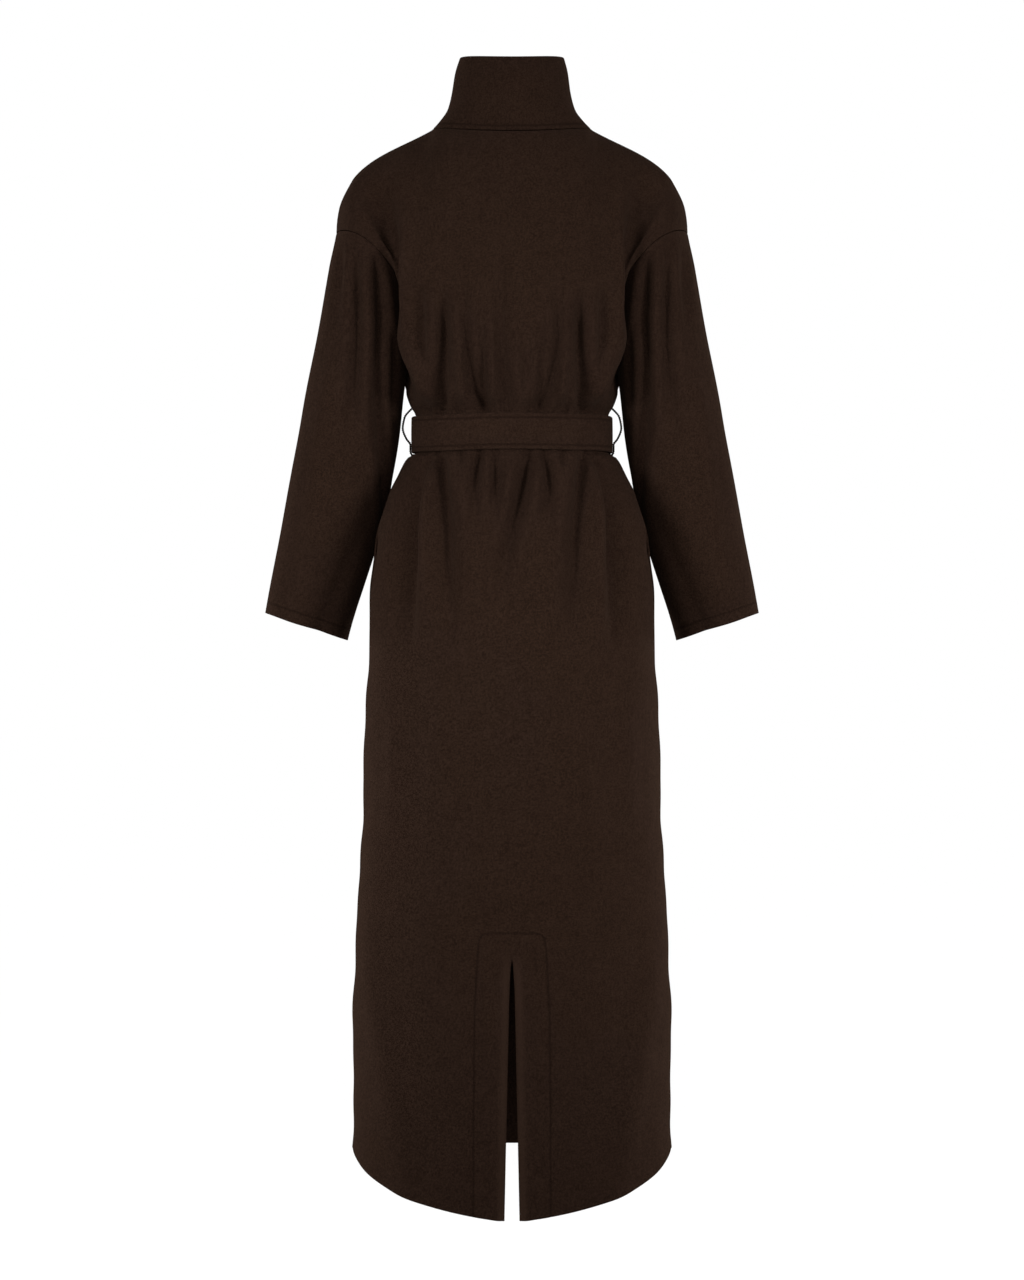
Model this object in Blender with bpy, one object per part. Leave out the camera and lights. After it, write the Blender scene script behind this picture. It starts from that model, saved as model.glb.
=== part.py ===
"""Long belted wool coat, worn and hollow: funnel collar, dropped shoulders, tied belt, curved hem with a vent.

Frame: origin at the middle of the neck seam between the two shoulder neck points, +Z up, the back faces -Y,
the front opening faces +Y and the wearer's right side is +X. Lengths in the tables are millimetres. Angles are
degrees round the body from the centre back (0) over the wearer's right side (90) to the centre front (180).
"""

import math
from collections import namedtuple

import bmesh
import bpy
import numpy as np

MM = 0.001

# Cloth and making-up sizes
WALL = 2.2
FACING_WALL = 1.6
POCKETING_WALL = 1.2
BELT_WALL = 4.0
SEAM_GAP = 0.3
LAYER_GAP = 1.2

# Neck seam and shoulder
NECK_HALF_WIDTH = 95.5
NECK_BACK, NECK_FRONT = 66.0, 80.0
NAPE_DROP, FRONT_NECK_DROP = 9.0, 70.0
NAPE_CURVE, FRONT_NECK_CURVE = 2.0, 1.4
NECK_POINT_ANGLE = 40.0
SHOULDER_TIP_Y = 5.0
ARMPIT_Z = -225.0

# Fronts, hem, vent and pockets
FRONT_LAP, NECK_LAP = 60.0, 42.0
LAP_BLEND_ANGLE = 16.0
FRONT_HEM_SIDE, FRONT_HEM_CENTRE = -1219.0, -1231.0
BACK_HEM_CENTRE = -1292.0
BACK_HEM_CURVE = 1.42
HEM_BEND_START, HEM_ROW = -800.0, -1225.0
VENT_TOP, VENT_FULL_AT = -987.0, -1030.0
VENT_TOP_GAP, VENT_HEM_GAP = 6.5, 17.6
FACING_TOP, FACING_HALF_WIDTH, FACING_CORNER = -953.0, 45.0, 10.0
POCKET_TOP, POCKET_END = -450.0, -592.0
POCKET_SLOPE, POCKET_GAPE, POCKET_DEPTH = 22.0, 8.0, 1.8
POCKET_ANGLES = [-13.0, -8.0, -4.0, 0.0, 4.0]
SIDE_SEAM_TOP, SIDE_SEAM_HIP, SIDE_SEAM_RUN = 90.0, 81.0, 200.0

# Belt
BELT_Z, BELT_WIDTH = -366.0, 43.0
BELT_EASE, BELT_STEP = 1.1, 6.0
TAIL_LENGTH, TAIL_TOP_X, TAIL_SPLAY, TAIL_CLEAR = 420.0, 24.0, 22.0, 6.5
TAIL_LEAD, TAIL_KNOT_SHARE = 90.0, 0.6
TAIL_ROWS = [0, 15, 35, 60, 95, 140, 200, 270, 345, TAIL_LENGTH]
TAIL_COLUMNS = [1.0, 0.5, 0.0, -0.5, -1.0]
KNOT_WIDTH, KNOT_HEIGHT, KNOT_DEPTH, KNOT_SQUARE = 40.0, 52.0, 19.0, 0.5
CARRIER_TOP, CARRIER_FOOT = -332.0, -392.0
CARRIER_BOW, CARRIER_CLEAR, CARRIER_RADIUS = 9.5, 1.4, 0.8
CARRIER_POINTS = 16

# A thread carrier's route over the belt's edge: distance out from the belt, height from the belt's middle
CARRIER_ROUTE = [
    (0.70 * CARRIER_BOW, 21.0),
    (CARRIER_BOW, 8.0),
    (0.65 * CARRIER_BOW, -5.0),
    (CARRIER_CLEAR, -15.0),
    (CARRIER_CLEAR, -0.5 * BELT_WIDTH),
]

# Horizontal sections of the body from the armpit to the hem
Level = namedtuple("Level", "z half_width back front square press")
BODY_LEVELS = [
    Level(-225, 152, 112, 118, 0.050, 32),
    Level(-260, 149, 110, 122, 0.050, 30),
    Level(-300, 142, 104, 117, 0.045, 21),
    Level(-318, 132, 100, 112, 0.040, 12),
    Level(-333, 123, 95, 105, 0.030, 4),
    Level(-343, 115.5, 88, 96, 0.020, 0),
    Level(-389, 115.5, 88, 96, 0.020, 0),
    Level(-396, 126, 96, 102, 0.020, 0),
    Level(-409, 133, 101, 106, 0.020, 0),
    Level(-437, 146, 111, 114, 0.020, 0),
    Level(-494, 161, 122, 122, 0.025, 0),
    Level(-560, 170, 127, 125, 0.030, 0),
    Level(-624, 172, 128, 127, 0.030, 0),
    Level(-780, 178, 128, 129, 0.030, 0),
    Level(-972, 186.5, 130, 132, 0.025, 0),
    Level(-1068, 190, 131, 134, 0.020, 0),
    Level(-1300, 192.5, 132, 136, 0.020, 0),
]
PRESS_WIDTH = 20.0
MIDDLE_SPREAD = 1.08

# How each grid line leaves the shoulder or neck seam, and how it arrives at the armpit section
Reach = namedtuple("Reach", "angle seam_x seam_y seam_z pit_x pit_y pit_z")
BACK_REACH = [
    Reach(0, 0, -16, -32, 0, -6, 88),
    Reach(40, 4, -52, -8, 0, -8, 88),
    Reach(62, 2, -56, -8, 2, -14, 90),
    Reach(78, -4, -72, -2, 14, -52, 92),
    Reach(90, -10, -85, 6, 22, -81, 90),
]
FRONT_REACH = [
    Reach(90, -10, 85, 6, 22, 78, 90),
    Reach(102, -4, 72, -2, 14, 50, 92),
    Reach(118, 2, 52, -8, 2, 10, 90),
    Reach(140, 4, 46, -8, 0, -4, 84),
    Reach(180, 0, 10, -34, 0, -10, 66),
]
SHOULDER_CURVE = [(95.5, 0.0), (148.0, -30.0), (210.0, -38.0), (211.0, -124.0)]

# Folds: each is a trough, or a ridge where its depth is negative, that runs between two heights. It deepens
# over its first share, rise, and fades out past the share hold. A gather with no rise starts at the belt.
Fold = namedtuple("Fold", "z_from z_to angle_from angle_to depth width rise hold both_sides")
FOLDS = [
    Fold(-345, -205, 49, 37, 7.0, 5.0, 0, 0, True),
    Fold(-330, -205, 56, 51, 3.0, 5.0, 0, 0, True),
    Fold(-345, -230, 18, 24, 5.0, 4.0, 0, 0, True),
    Fold(-345, -240, 3.5, 6, 2.5, 3.0, 0, 0, True),
    Fold(-388, -570, 50, 27, 7.5, 5.5, 0, 0, True),
    Fold(-400, -600, 63, 46, 6.0, 6.0, 0, 0, True),
    Fold(-388, -470, 18, 15, 5.0, 4.0, 0, 0, True),
    Fold(-388, -460, -10, -8, 3.0, 3.0, 0, 0, False),
    Fold(-388, -560, 10, -4, 4.0, 4.0, 0, 0, False),
    Fold(-70, -300, 60, 59, -5.0, 6.0, 0.25, 0.6, True),
    Fold(-85, -260, 71, 72, 5.5, 8.0, 0.25, 0.6, True),
    Fold(-345, -225, 106, 111, 5.0, 5.0, 0, 0, True),
    Fold(-345, -215, 124, 128, 6.0, 5.0, 0, 0, True),
    Fold(-345, -250, 140, 142, 3.5, 4.0, 0, 0, True),
    Fold(-388, -590, 112, 124, 6.0, 6.0, 0, 0, True),
    Fold(-388, -560, 128, 140, 6.0, 5.0, 0, 0, True),
    Fold(-388, -470, 142, 144, 3.5, 4.0, 0, 0, True),
]
BELT_FADE = 3.0
FOLD_SPREAD, FOLD_BEND = 0.6, 1.4

# Sleeve rings below the armhole: middle of the ring, half sizes, and how far its outer side is tipped up
Ring = namedtuple("Ring", "x y z half_width half_depth tilt")
SLEEVE_RINGS = [
    Ring(171.5, 3, -215, 57, 56, 30.5),
    Ring(180.5, 6, -271, 57.5, 57, 19.0),
    Ring(191, 14, -344, 58.5, 57, 9.0),
    Ring(211.5, 29, -441.5, 60.5, 56, 13.0),
    Ring(232.5, 46, -527, 56.5, 53, 17.7),
    Ring(249.5, 62, -596, 53.5, 50, 18.3),
]
SleeveFold = namedtuple("SleeveFold", "from_share to_share angle_from angle_to depth width")
SLEEVE_FOLDS = [
    SleeveFold(0.08, 0.72, 104, 136, 7.0, 13.0),
    SleeveFold(0.12, 0.62, 72, 90, 3.5, 12.0),
    SleeveFold(0.10, 0.70, 256, 226, 6.0, 14.0),
]
SLEEVE_FOLD_RISE, SLEEVE_FOLD_HOLD = 0.25, 0.55
SLEEVE_ROWS = [0.0, 0.07, 0.15, 0.23, 0.32, 0.41, 0.50, 0.60, 0.70, 0.80, 0.90, 1.0]

# Collar: half width and depths from the neck seam (share 0) to the top edge (share 1)
CollarLevel = namedtuple("CollarLevel", "share half_width back front")
COLLAR_LEVELS = [
    CollarLevel(0.00, 95.5, 66.0, 80),
    CollarLevel(0.12, 86, 65.5, 76),
    CollarLevel(0.28, 76.5, 65.0, 72),
    CollarLevel(0.50, 71.5, 63.5, 70),
    CollarLevel(0.80, 67.5, 61.0, 68),
    CollarLevel(1.00, 62.5, 58.5, 66),
]
COLLAR_TOP, COLLAR_FRONT_FALL, COLLAR_FRONT_CURVE = 86.0, 55.0, 1.5
COLLAR_ROWS = [0.0, 0.1, 0.25, 0.5, 0.8, 1.0]

# Grid lines shared by all panels, so that neighbours meet point to point at their seams
QUARTER_ANGLES = [0, 3.5, 8, 13, 18, 23, 29, 35, 40, 45, 50, 55, 60, 66, 72, 80, 90]
UPPER_ROWS = [0.0, 0.07, 0.16, 0.28, 0.42, 0.56, 0.70, 0.82, 0.92, 1.0]
TORSO_ROWS = [-245, -270, -295, -316, -332, -343, -366, -389]
SKIRT_ROWS = [-396, -409, -426, -450, -474, -504, -540, -574, -592, -630, -700, -800]
HEM_HEIGHTS = [-905, VENT_TOP, VENT_FULL_AT, -1110, -1200, BACK_HEM_CENTRE]
LAP_STEPS = [1 / 3, 2 / 3, 1.0]
FACING_STEPS = [0.0, 0.5, 1.0]

# Small steps for slopes, and the share of a grid line that opens the shoulder and neck seams
ANGLE_STEP, SHARE_STEP, HEIGHT_STEP = 0.05, 0.004, 0.6
SEAM_SHARE = 0.002

CLOTH_COLOUR, CLOTH_ROUGHNESS = (0.022, 0.012, 0.008), 0.9
THREAD_COLOUR, THREAD_ROUGHNESS = (0.008, 0.006, 0.005), 0.7
SHARP_ANGLE = 50.0


def unit(vectors):
    return vectors / np.linalg.norm(vectors, axis=-1, keepdims=True)


def smooth_step(x):
    x = np.clip(x, 0.0, 1.0)
    return x * x * (3 - 2 * x)


def bell(x):
    return np.exp(-x * x)


def curve_through(stations, values):
    """A smooth function through a table's column, level at its turning points so that it never overshoots."""
    order = np.argsort(stations)
    xs = np.array(stations, float)[order]
    ys = np.array(values, float)[order]
    steps = np.diff(xs)
    slopes = np.diff(ys, axis=0) / steps.reshape((-1,) + (1,) * (ys.ndim - 1))
    tangents = np.zeros_like(ys)
    tangents[0], tangents[-1] = slopes[0], slopes[-1]
    product = slopes[:-1] * slopes[1:]
    total = slopes[:-1] + slopes[1:]
    level = product <= 0
    tangents[1:-1] = np.where(level, 0.0, 2 * product / np.where(level, 1.0, total))

    def at(x):
        x = np.clip(np.asarray(x, float), xs[0], xs[-1])
        i = np.clip(np.searchsorted(xs, x, side="right") - 1, 0, len(xs) - 2)
        shape = x.shape + (1,) * (ys.ndim - 1)
        width = steps[i].reshape(shape)
        t = ((x - xs[i]) / steps[i]).reshape(shape)
        rise = t * t * (3 - 2 * t)
        return (
            ys[i] * (1 - rise)
            + ys[i + 1] * rise
            + width * tangents[i] * t * (1 - t) ** 2
            - width * tangents[i + 1] * t * t * (1 - t)
        )

    return at


def column(table, name):
    return [getattr(row, name) for row in table]


def table_curve(table, key, name):
    return curve_through(column(table, key), column(table, name))


BODY = {name: table_curve(BODY_LEVELS, "z", name) for name in Level._fields[1:]}
REACH_BACK = {name: table_curve(BACK_REACH, "angle", name) for name in Reach._fields[1:]}
REACH_FRONT = {name: table_curve(FRONT_REACH, "angle", name) for name in Reach._fields[1:]}
COLLAR = {name: table_curve(COLLAR_LEVELS, "share", name) for name in CollarLevel._fields[1:]}


def bezier(p0, p1, p2, p3, t):
    s = 1 - t
    return s * s * s * p0 + 3 * s * s * t * p1 + 3 * s * t * t * p2 + t * t * t * p3


def section_point(angle, z):
    """A point of the plain body section at height z: a rounded ring, pressed in at the sides by the arms."""
    turn = np.radians(angle)
    square = BODY["square"](z)
    across = (np.sin(turn) + square * np.sin(3 * turn)) / (1 - square)
    along = (np.cos(turn) - square * np.cos(3 * turn)) / (1 - square)
    from_side = 90 - np.abs((np.abs(angle) + 180) % 360 - 180)
    press = BODY["press"](z) * bell(from_side / PRESS_WIDTH)
    x = BODY["half_width"](z) * across - np.sign(across) * press
    y = -along * np.where(along > 0, BODY["back"](z), BODY["front"](z))
    return np.stack([x, y, z + 0 * x], axis=-1)


def neck_turn(angle):
    """Turn round the neck ring for a body angle: 0 at the nape, 90 at the shoulder, 180 at the centre front."""
    back = 90 * angle / NECK_POINT_ANGLE
    front = 90 + 90 * (angle - 180 + NECK_POINT_ANGLE) / NECK_POINT_ANGLE
    return np.where(angle < 90, back, front)


def neck_point(turn):
    cosine = np.cos(np.radians(turn))
    back = cosine > 0
    x = NECK_HALF_WIDTH * np.sin(np.radians(turn))
    y = -cosine * np.where(back, NECK_BACK, NECK_FRONT)
    curve = np.where(back, NAPE_CURVE, FRONT_NECK_CURVE)
    z = -np.where(back, NAPE_DROP, FRONT_NECK_DROP) * np.abs(cosine) ** curve
    return np.stack([x, y, z], axis=-1)


def shoulder_point(angle):
    """A point of the shoulder seam, from the neck point out to the sleeve seam on the upper arm."""
    share = (np.minimum(angle, 180 - angle) - NECK_POINT_ANGLE) / (90 - NECK_POINT_ANGLE)
    x, z = (bezier(*(np.array(p[k]) for p in SHOULDER_CURVE), share) for k in (0, 1))
    return np.stack([x, SHOULDER_TIP_Y * share, z], axis=-1)


def reach_of(end_name, angle, front):
    """Control arms at one end of the grid lines above the armpit, for the back or the front."""
    back_arm = np.stack([REACH_BACK[end_name + k](angle) for k in "xyz"], axis=-1)
    front_arm = np.stack([REACH_FRONT[end_name + k](angle) for k in "xyz"], axis=-1)
    return np.where(np.asarray(front)[..., None], front_arm, back_arm)


def upper_plain(angle, share, front):
    """A point above the armpit: share 0 on the neck or shoulder seam, 1 on the armpit section."""
    past = angle > 180
    folded = np.where(past, 360 - angle, angle)
    in_neck = np.abs(folded - 90) >= 90 - NECK_POINT_ANGLE
    turn = neck_turn(np.where(in_neck, folded, 0.0))
    shoulder = shoulder_point(np.where(in_neck, NECK_POINT_ANGLE, folded))
    start = np.where(in_neck[..., None], neck_point(turn), shoulder)
    end = section_point(folded, ARMPIT_Z + 0 * folded)
    leave, arrive = (reach_of(end_name, folded, front) for end_name in ("seam_", "pit_"))
    t = np.asarray(share)[..., None] + 0 * start
    point = bezier(start, start + leave, end + arrive, end, t)
    point[..., 0] *= np.where(past, -1.0, 1.0)
    return point


def hem_height(angle):
    """Height of the hem: dropped in a curve at the back, nearly level in front."""
    folded = np.where(angle > 180, 360 - angle, np.abs(angle))
    back_share = np.clip(folded / SIDE_SEAM_HIP, 0, 1)
    back = BACK_HEM_CENTRE + (FRONT_HEM_SIDE - BACK_HEM_CENTRE) * back_share**BACK_HEM_CURVE
    front_share = np.clip((folded - SIDE_SEAM_HIP) / (180 - SIDE_SEAM_HIP), 0, 1)
    front = FRONT_HEM_SIDE + (FRONT_HEM_CENTRE - FRONT_HEM_SIDE) * smooth_step(front_share)
    return np.where(folded < SIDE_SEAM_HIP, back, front)


def row_height(angle, row):
    """Real height of a grid row: rows below the knee bend until the last one follows the hem."""
    share = np.clip((HEM_BEND_START - row) / (HEM_BEND_START - HEM_ROW), 0, None)
    bent = HEM_BEND_START + (hem_height(angle) - HEM_BEND_START) * share
    return np.where(row < HEM_BEND_START, bent, row)


def back_row(z):
    """The grid row below the knee that crosses the centre back at height z."""
    share = (HEM_BEND_START - z) / (HEM_BEND_START - BACK_HEM_CENTRE)
    return HEM_BEND_START - share * (HEM_BEND_START - HEM_ROW)


def fold_depth(angle, z):
    """How far the folds press the cloth in at an angle and height."""
    signed = (np.asarray(angle) + 180) % 360 - 180
    depth = np.zeros(np.broadcast(signed, z).shape)
    for fold in FOLDS:
        share = (z - fold.z_from) / (fold.z_to - fold.z_from)
        inside = np.clip(share, 0, 1)
        enter = smooth_step(share / fold.rise) if fold.rise else bell(np.minimum(share, 0) * BELT_FADE)
        fade = enter * (1 - smooth_step((share - fold.hold) / (1 - fold.hold)))
        middle = fold.angle_from + (fold.angle_to - fold.angle_from) * smooth_step(FOLD_BEND * inside)
        spread = fold.width * (1 + FOLD_SPREAD * inside)
        for side in (1, -1) if fold.both_sides else (1,):
            depth += fold.depth * fade * bell((signed - side * middle) / spread)
    return depth


def plain_point(angle, row, front):
    """The coat's surface without folds. Rows 0 to 1 lie above the armpit, rows below zero are heights."""
    upper = row >= 0
    high = upper_plain(np.abs(angle), np.where(upper, row, 0.0), front)
    high[..., 0] *= np.where(angle < 0, -1.0, 1.0)
    low = section_point(angle, row_height(angle, np.where(upper, ARMPIT_Z, row)))
    return np.where(upper[..., None], high, low)


def off_seam(angle, row, front):
    """Angles moved just off the armhole line, where the front's and the back's patches end."""
    size = np.abs(angle)
    kept = np.where(front, np.maximum(size, 90 + ANGLE_STEP), np.minimum(size, 90 - ANGLE_STEP))
    return np.where(angle < 0, -1.0, 1.0) * np.where(row >= 0, kept, size)


def normals_of(surface, angle, row, front):
    """Outward unit normals of a surface function, by small steps round and down it."""
    angle = off_seam(angle, row, front)
    above = row >= 0
    step = np.where(above, SHARE_STEP, -HEIGHT_STEP)
    low, high = np.where(above, 0.0, -np.inf), np.where(above, 1.0, ARMPIT_Z)
    lower, upper = (surface(angle, np.clip(row + k * step, low, high), front) for k in (1, -1))
    right = surface(angle + ANGLE_STEP, row, front) - surface(angle - ANGLE_STEP, row, front)
    return unit(np.cross(lower - upper, right))


def coat_point(angle, row, front):
    """The coat's outer surface with its folds, on arrays of angles and rows."""
    angle, row = np.broadcast_arrays(np.asarray(angle, float), np.asarray(row, float))
    base = plain_point(angle, row, front)
    outward = normals_of(plain_point, angle, row, front)
    return base - outward * fold_depth(angle, base[..., 2])[..., None]


def coat_normals(angle, row, front):
    """Normals of the folded surface. On the shoulder seam they are a mitre between the front's and back's."""
    normal = normals_of(coat_point, angle, row, front)
    folded = np.where(np.abs(angle) > 180, 360 - np.abs(angle), np.abs(angle))
    on_shoulder = (row >= 0) & (row <= SEAM_SHARE) & (np.abs(folded - 90) < 90 - NECK_POINT_ANGLE)
    return np.where(on_shoulder[..., None], unit(normal * (1, 0, 1)), normal)


def side_seam(row):
    """Angle of the side seam: under the arm at the top, a little towards the back from the hip down."""
    share = smooth_step((ARMPIT_Z - np.minimum(row, ARMPIT_Z)) / SIDE_SEAM_RUN)
    return np.where(row >= 0, SIDE_SEAM_TOP, SIDE_SEAM_TOP + (SIDE_SEAM_HIP - SIDE_SEAM_TOP) * share)


def seam_step(row):
    """Half a seam's gap as an angle on the body."""
    return np.degrees(0.5 * SEAM_GAP / BODY["half_width"](np.where(row >= 0, ARMPIT_Z, row)))


def pocket_gape(row):
    """How far the back's edge stands back from the side seam along the pocket, as an angle."""
    inside = np.minimum(POCKET_TOP - row, row - POCKET_END)
    return POCKET_GAPE * smooth_step(inside / POCKET_SLOPE)


def lap_angle(row):
    """Angle past the centre front where a front's edge hangs."""
    width = BODY["half_width"](np.where(row >= 0, ARMPIT_Z, row))
    below = np.degrees(np.arcsin(FRONT_LAP / (MIDDLE_SPREAD * width)))
    turn = np.degrees(np.arcsin(NECK_LAP / NECK_HALF_WIDTH))
    at_neck = turn * NECK_POINT_ANGLE / 90
    share = smooth_step(np.clip(row, 0, 1))
    return np.where(row >= 0, at_neck + (below - at_neck) * share, below)


def lap_inset(angle, lap):
    """How far the under front is set in below the upper one."""
    start = 180 - lap - LAP_BLEND_ANGLE
    return (WALL + LAYER_GAP) * smooth_step((angle - start) / LAP_BLEND_ANGLE)


def shell(name, outer, inner, faces, material):
    """A closed wall from matching outer and inner points and the faces of the outer side."""
    mesh = bpy.data.meshes.new(name)
    work = bmesh.new()
    front = [work.verts.new(p * MM) for p in outer]
    back = [work.verts.new(p * MM) for p in inner]
    borders = {}
    for face in faces:
        work.faces.new([front[i] for i in face])
        work.faces.new([back[i] for i in reversed(face)])
        for a, b in zip(face, face[1:] + face[:1]):
            if (b, a) in borders:
                del borders[(b, a)]
            else:
                borders[(a, b)] = True
    for a, b in borders:
        work.faces.new([front[b], front[a], back[a], back[b]])
    work.to_mesh(mesh)
    work.free()
    return add_object(name, mesh, material)


def add_object(name, mesh, material):
    mesh.materials.append(material)
    mesh.shade_smooth()
    mesh.set_sharp_from_angle(angle=math.radians(SHARP_ANGLE))
    part = bpy.data.objects.new(name, mesh)
    bpy.context.scene.collection.objects.link(part)
    return part


def grid_faces(rows, columns, wrap=False):
    """Faces of a grid stored row by row, its outer side seen with the columns running to the right."""
    faces = []
    for j in range(rows - 1):
        for i in range(columns if wrap else columns - 1):
            right = (i + 1) % columns
            upper, lower = j * columns, (j + 1) * columns
            faces.append([upper + i, lower + i, lower + right, upper + right])
    return faces


def panel_rows():
    """Rows of a body panel, the first one half a seam's gap off the shoulder and neck seam."""
    hem_rows = [back_row(z) for z in HEM_HEIGHTS]
    return np.array([SEAM_SHARE] + UPPER_ROWS[1:] + TORSO_ROWS + SKIRT_ROWS + hem_rows, float)


def vent_half_gap(z):
    """Half the vent's gap at a height."""
    top = VENT_TOP_GAP * np.sqrt(np.clip((VENT_TOP - z) / (VENT_TOP - VENT_FULL_AT), 0, 1))
    widening = np.clip((VENT_FULL_AT - z) / (VENT_FULL_AT - BACK_HEM_CENTRE), 0, 1)
    return 0.5 * (top + (VENT_HEM_GAP - VENT_TOP_GAP) * widening)


def vent_angle(row):
    z = row_height(0 * row, row)
    return np.degrees(vent_half_gap(z) / (MIDDLE_SPREAD * BODY["half_width"](z)))


def panel_walls(angle, row, front, wall, inset=0.0):
    """Outer and inner points of a panel from its grid of angles and rows."""
    normal = coat_normals(angle, row, front)
    outer = coat_point(angle, row, front) - normal * np.asarray(inset)[..., None]
    return outer, outer - normal * wall


def make_back(material):
    """The back in one piece, slit up its middle from the hem."""
    rows = panel_rows()
    quarter = np.array(QUARTER_ANGLES, float)
    spread = np.concatenate([-quarter[:0:-1], [-0.0], [0.0], quarter[1:]])
    row = np.repeat(rows[:, None], len(spread), axis=1)
    angle = spread[None, :] * (side_seam(rows) - seam_step(rows) - pocket_gape(rows))[:, None] / 90
    middle = len(quarter) - 1
    angle[:, middle] = -vent_angle(rows)
    angle[:, middle + 1] = vent_angle(rows)
    outer, inner = panel_walls(angle, row, np.zeros(row.shape, bool), WALL)
    whole_rows = int(np.sum(rows >= back_row(VENT_TOP)))
    return slit_shell("back", outer, inner, middle, whole_rows, material)


def slit_shell(name, outer, inner, middle, whole_rows, material):
    """A panel whose middle two columns are one in its first rows, and part below them along a slit."""
    rows, columns = outer.shape[:2]
    index = np.arange(rows * columns).reshape(rows, columns)
    index[:whole_rows, middle + 1] = index[:whole_rows, middle]
    faces = []
    for j in reversed(range(rows - 1)):
        for i in range(columns - 1):
            if i != middle:
                corners = (index[j, i], index[j + 1, i], index[j + 1, i + 1], index[j, i + 1])
                faces.append([int(k) for k in corners])
    used = sorted({k for face in faces for k in face})
    place = {k: n for n, k in enumerate(used)}
    faces = [[place[k] for k in face] for face in faces]
    return shell(name, outer.reshape(-1, 3)[used], inner.reshape(-1, 3)[used], faces, material)


def front_grid():
    """Angles and rows of the right front, from the side seam to its edge past the centre front."""
    rows = panel_rows()
    quarter = np.array(QUARTER_ANGLES, float)[::-1]
    seam = side_seam(rows) + seam_step(rows)
    main = 180 - quarter[None, :] * ((180 - seam) / 90)[:, None]
    lap = 180 + np.array(LAP_STEPS)[None, :] * lap_angle(rows)[:, None]
    angle = np.concatenate([main, lap], axis=1)
    return angle, np.repeat(rows[:, None], angle.shape[1], axis=1)


def make_front(side, material):
    """One front. The wearer's right one lies on top where they lap."""
    angle, row = front_grid()
    inset = lap_inset(angle, lap_angle(row)) if side == "left" else np.zeros(row.shape)
    outer, inner = panel_walls(angle, row, np.ones(row.shape, bool), WALL, inset)
    faces = grid_faces(*row.shape)
    if side == "left":
        outer, inner = outer * (-1, 1, 1), inner * (-1, 1, 1)
        faces = [face[::-1] for face in faces]
    return shell("front_" + side, outer.reshape(-1, 3), inner.reshape(-1, 3), faces, material)


def armhole_loop():
    """The right armhole seam: from the outer arm round the back to the armpit, and up the front."""
    rows = np.array(UPPER_ROWS)
    side = np.full(len(rows), 90.0)
    back = coat_point(side, rows, np.zeros(len(rows), bool))
    front = coat_point(side, rows, np.ones(len(rows), bool))
    turn = np.concatenate([180 * rows, 360 - 180 * rows[-2:0:-1]])
    return turn, np.concatenate([back, front[-2:0:-1]])


def sleeve_ring(ring, turn):
    """Points of one sleeve ring, at turns from the outer side over the back."""
    tilt = math.radians(ring.tilt)
    across = np.cos(np.radians(turn))[:, None] * ring.half_width * np.array([math.cos(tilt), 0, math.sin(tilt)])
    through = np.sin(np.radians(turn))[:, None] * ring.half_depth * np.array([0, -1.0, 0])
    return np.array([ring.x, ring.y, ring.z]) + across + through


def sleeve_fold_depth(turn, share):
    depth = np.zeros(np.broadcast(turn, share).shape)
    for fold in SLEEVE_FOLDS:
        t = (share - fold.from_share) / (fold.to_share - fold.from_share)
        leave = smooth_step((t - SLEEVE_FOLD_HOLD) / (1 - SLEEVE_FOLD_HOLD))
        fade = smooth_step(t / SLEEVE_FOLD_RISE) * (1 - leave)
        middle = fold.angle_from + (fold.angle_to - fold.angle_from) * np.clip(t, 0, 1)
        depth += fold.depth * fade * bell((turn - middle) / fold.width)
    return depth


def sleeve_walls():
    """Outer and inner points of the right sleeve, row by row from the armhole to the cuff."""
    turn, loop = armhole_loop()
    rings = [loop] + [sleeve_ring(ring, turn) for ring in SLEEVE_RINGS]
    lengths = [np.linalg.norm((b - a).mean(axis=0)) for a, b in zip(rings, rings[1:])]
    stations = np.concatenate([[0], np.cumsum(lengths)]) / sum(lengths)
    start = rings[1] - rings[0]
    rings[0] = rings[0] + 2 * SEAM_GAP * unit(start)
    shares = np.array(SLEEVE_ROWS)
    plain = curve_through(stations, rings)(shares)
    normal = grid_normals(plain)
    outer = plain - normal * sleeve_fold_depth(turn[None, :], shares[:, None])[..., None]
    return outer, outer - grid_normals(outer) * WALL


def grid_normals(points):
    """Outward normals of a tube stored ring by ring, its turns running over the back."""
    down = np.gradient(points, axis=0)
    around = np.roll(points, -1, axis=1) - np.roll(points, 1, axis=1)
    return unit(np.cross(around, down))


def make_sleeve(side, material):
    outer, inner = sleeve_walls()
    faces = [face[::-1] for face in grid_faces(*outer.shape[:2], wrap=True)]
    if side == "left":
        outer, inner = outer * (-1, 1, 1), inner * (-1, 1, 1)
        faces = [face[::-1] for face in faces]
    return shell("sleeve_" + side, outer.reshape(-1, 3), inner.reshape(-1, 3), faces, material)


def collar_point(turn, share):
    """A point of the collar: turn round the neck, share of its height."""
    size = np.abs(turn)
    sine, cosine = np.sin(np.radians(turn)), np.cos(np.radians(turn))
    base = neck_point(size)[..., 2]
    top = COLLAR_TOP - COLLAR_FRONT_FALL * np.clip(-cosine, 0, 1) ** COLLAR_FRONT_CURVE
    x = COLLAR["half_width"](share) * sine
    y = -cosine * np.where(cosine > 0, COLLAR["back"](share), COLLAR["front"](share))
    return np.stack([x, y, base + (top - base) * share], axis=-1)


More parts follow.
